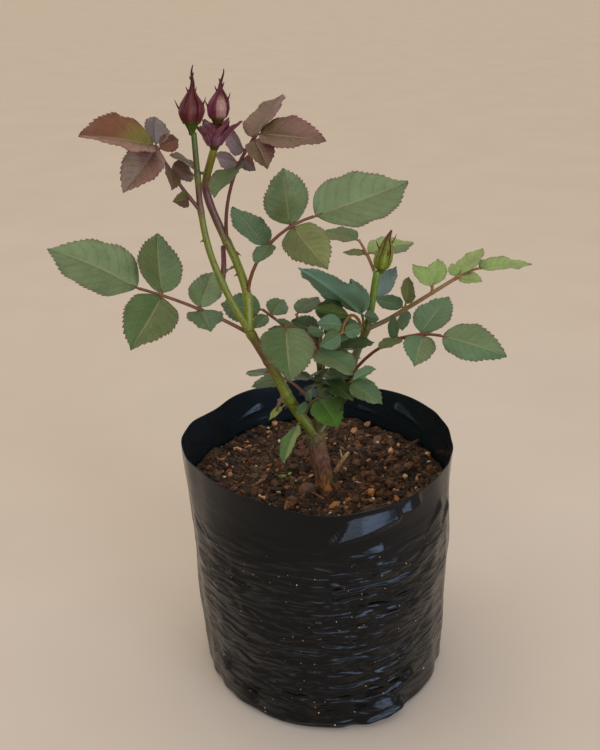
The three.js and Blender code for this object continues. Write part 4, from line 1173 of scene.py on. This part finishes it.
# A bud stands on the end of a limb, moved by `shift` in X and `rise` in Z, and its tip is
# `lean` off the upright. Its profile is heights and radii, its hip ends at the height
# `hip`, and a barb is a heading, a height and a length.
BUDS = {
    "bud_first": {
        "on": "shoot_left", "shift": -1, "rise": 0, "lean": 2, "slot": "bud", "hip": 8, "open": False,
        "profile": [(0, 1.5), (2, 1.8), (4, 2.8), (6, 3.9), (9, 5.4), (12, 6.3), (16, 5.5), (19.5, 3.0),
                    (23, 1.25), (29, 0.6), (35, 0.1)],
        "tones": tones("#47590f #521c24 #622024 #86463f #5c1a1c"),
        "barbs": [(185, 13, 5), (-15, 15, 4.5), (60, 20, 4), (200, 22, 2.5), (-60, 25, 2.5), (180, 28, 1.6),
                  (-20, 30, 1.4)]},
    "bud_second": {
        "on": "shoot_centre", "shift": 2.3, "rise": 13.6, "lean": 4, "slot": "bud", "hip": 4.2, "open": True,
        "profile": [(0, 2.3), (2, 3.2), (4.5, 4.8), (8, 5.5), (11.5, 4.8), (15, 2.8), (18, 1.15), (22, 0.6),
                    (28, 0.1)],
        "tones": tones("#5c4414 #c99a86 #6e2036 #96465c #5e1c20"),
        "barbs": [(200, 9, 4), (-20, 12, 4.5), (170, 17, 2.5), (0, 19, 2.5), (190, 22, 1.4)]},
    "bud_green": {
        "on": "stem_right", "shift": 2.4, "rise": 0, "lean": 4.5, "slot": "green_bud", "hip": 4,
        "open": False, "tip_from": 0.66,
        "profile": [(0, 1.8), (2, 2.5), (4.5, 4.2), (8, 5), (12, 4.7), (17, 3.2), (21, 1.6), (26, 0.5)],
        "tones": tones("#5c7418 #59631a #7f8a22 #a8ac44 #8a4330"),
        "barbs": [(60, 17, 7), (205, 15, 6), (-10, 18, 6), (-70, 12, 5)]},
}

# Sepals and petals: thin living tissue, soft in its shine, with fine streaks up it.
tissue, tree, place = new_tree("sepal_and_petal_skin")
lines = cloud(tree, stretched(tree, place, 1500.0, 160.0), 1.0, 2.0)
streaked = mix(tree, lines, "#7c7672", "#ffffff")
cover(tree, {
    "Base Color": mix(tree, 1.0, painted(tree), streaked, "MULTIPLY"),
    "Roughness": 0.5, "Normal": bumped(tree, lines, 0.3, 0.0003), "Specular IOR Level": 0.28})


def bud_axis(bud, height):
    """The bud's middle line at these heights above its foot, as it leans towards +X."""
    foot = limb_place(bud["on"], 1) + np.array([bud["shift"], 0, bud["rise"] - 1])
    tall = bud["profile"][-1][0]
    drift = bud["lean"] * (height / tall) ** 1.5 + 0.5 * np.sin(height * 0.55) * (height / tall) ** 2
    return foot + np.stack([drift, 0 * height, height], axis=-1)


def bud_radius(bud, height):
    """The bud's radius at a height above its foot, from its profile."""
    at, radius = zip(*bud["profile"])
    return np.interp(height, at, radius)


SEPAL_ROWS, SEPAL_COLUMNS = 34, 9


def sepal(bud, heading, chance, loose):
    """One sepal: a long pointed strip that wraps the bud and runs on into the tip."""
    tall = bud["profile"][-1][0]
    share = np.linspace(0, 1, SEPAL_ROWS)
    foot = bud["hip"] * 0.75
    height = foot + (tall - foot) * share
    top = np.interp(share, [0, 0.25, 0.5, 0.75, 1], [0.6, 0.6, 0.5, 0.42, 0.4])
    columns = np.linspace(-1, 1, SEPAL_COLUMNS)
    angle = math.radians(heading) + 0.35 * share[:, None] * chance.uniform(-1, 1) + columns * top[:, None]
    slim = np.clip(bud_radius(bud, height)[:, None] / 3, 0.25, 1)
    radius = bud_radius(bud, height)[:, None] + slim * (0.3 + 0.4 * (1 - columns ** 2) + loose)
    axis = bud_axis(bud, height)[:, None]
    shell = [axis + r[..., None] * np.stack([np.cos(angle), np.sin(angle), 0 * angle], axis=-1)
             for r in (radius, radius - 0.3 * slim)]
    points, faces = thin_sheet(*shell, False)
    hues = bud["tones"]
    down_middle = np.interp(share, [0, 0.15, 0.45, 0.6], [0.2, 1, 0.8, 0])[:, None]
    streak = np.exp(-(columns[None, :] / 0.28) ** 2) * down_middle
    tip_from = bud.get("tip_from", 0.45)
    tint = blend(hues["sepal"], hues["streak"], streak[..., None])
    tint = blend(tint, hues["tip"], ramp(share, tip_from, tip_from + 0.25)[:, None, None])
    tint = blend(tint, hues["hip"], (1 - ramp(share, 0, 0.08))[:, None, None])
    tints = tint.reshape(-1, 4)
    return {"points": points, "faces": faces, "tint": np.vstack([tints, tints])}


def barbs(bud, inset):
    """The loose threads of the sepals' edges, each curving up from the side of the bud."""
    steps = np.linspace(0, 1, 8)[:, None]
    tone = tone_along([(0, bud["tones"]["tip"]), (1, bud["tones"]["tip"])], steps[:, 0])
    threads = []
    for heading, at, long in bud["barbs"]:
        outward = heading_rise(heading, 0)
        root = bud_axis(bud, np.array(float(at))) + outward * (bud_radius(bud, at) - inset)
        path = root + outward * long * 0.5 * steps + np.array([0, 0, 1.0]) * long * steps ** 1.4
        threads.append(tube(path, 0.55 * (1 - steps[:, 0]) ** 0.8 + 0.1, 8, tone))
    return threads


BUD_ROWS, BUD_AROUND = 64, 40
turn = np.arange(BUD_AROUND) * 2 * math.pi / BUD_AROUND
for name, bud in BUDS.items():
    chance = np.random.default_rng(len(name) + 700)
    tall = bud["profile"][-1][0]
    height = np.linspace(0, tall * 0.985, BUD_ROWS)
    swirl = (turn[None, :] / (2 * math.pi) * 3 + height[:, None] / tall * 1.3) % 1.0
    radii = bud_radius(bud, height)[:, None]
    petals = ramp(height, bud["hip"], bud["hip"] + 3)[:, None] * np.minimum(1, radii / 3)
    radii = radii - 0.5 * petals * (0.2 + swirl * 0.8)
    hues = bud["tones"]
    tint = blend(hues["petal"], hues["sepal"], (np.clip(1 - swirl * 1.4, 0, 1) * 0.6)[..., None])
    tint = blend(tint, hues["hip"], (1 - ramp(height, bud["hip"] - 1.5, bud["hip"] + 0.5))[:, None, None])
    tint = blend(tint, hues["tip"], ramp(height / tall, 0.42, 0.58)[:, None, None])
    parts = [tube(bud_axis(bud, height), radii, BUD_AROUND, tint)]
    for k in range(5):
        heading = 72 * k - (130 if bud["open"] else 90)
        if bud["open"] and k == 1:
            continue
        parts.append(sepal(bud, heading, chance, loose=0.1 * (k % 2)))
    piece = joined(name + "_flower", parts + barbs(bud, 0.1), [tissue])
    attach(piece, "root")
    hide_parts(name)

# The leafy bracts that wrap the foot of the second bud, purple above an olive foot.
BRACTS = {
    "on": "shoot_centre", "shift": 0, "rise": 0, "lean": 1.5, "hip": 3.5,
    "profile": [(0, 2.3), (3, 3.8), (6, 5.8), (9, 6.9), (12, 6.4), (13.2, 2.4)],
    "tones": tones("#5c4a14 #6e3844 #8a4e5c #a06c78 #6e3038"), "barbs": [(150, 11, 6), (-20, 11, 5)],
}
chance = np.random.default_rng(811)
height = np.linspace(0, 13.0, 40)
pleat = np.sin(turn * 5)[None, :]
radii = bud_radius(BRACTS, height)[:, None] - 0.4 + 0.35 * pleat * ramp(height, 3, 8)[:, None]
hues = BRACTS["tones"]
tint = blend(hues["petal"], hues["sepal"], (0.5 + 0.5 * pleat)[..., None])
tint = blend(tint, hues["hip"], (1 - ramp(height, 2.5, 6))[:, None, None])
parts = [tube(bud_axis(BRACTS, height), radii, BUD_AROUND, tint)]
parts += [sepal(BRACTS, 72 * k - 70, chance, loose=0.0) for k in range(5)]
BRACT_BLADES = [  # heading, rise, length
    (196, 62, 14), (-14, 52, 18), (-88, 66, 12), (-130, 64, 13), (-50, 62, 14), (50, 60, 15), (120, 60, 14),
]
for heading, rise, long in BRACT_BLADES:
    out, inward = heading_rise(heading, rise), heading_rise(heading, rise + 90)
    foot = bud_axis(BRACTS, np.array(2.0)) + heading_rise(heading, 0) * 2.4
    leafy = blade(chance, foot, out, np.cross(out, inward), inward, long, "rose rose", math.radians(24), 0.5)
    leafy["material"] = np.zeros(len(leafy["faces"]), dtype=int)
    parts.append(leafy)
bracts = joined("bud_bracts_leaves", parts + barbs(BRACTS, 0.6), [tissue])
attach(bracts, "root")
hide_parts("bud_bracts")
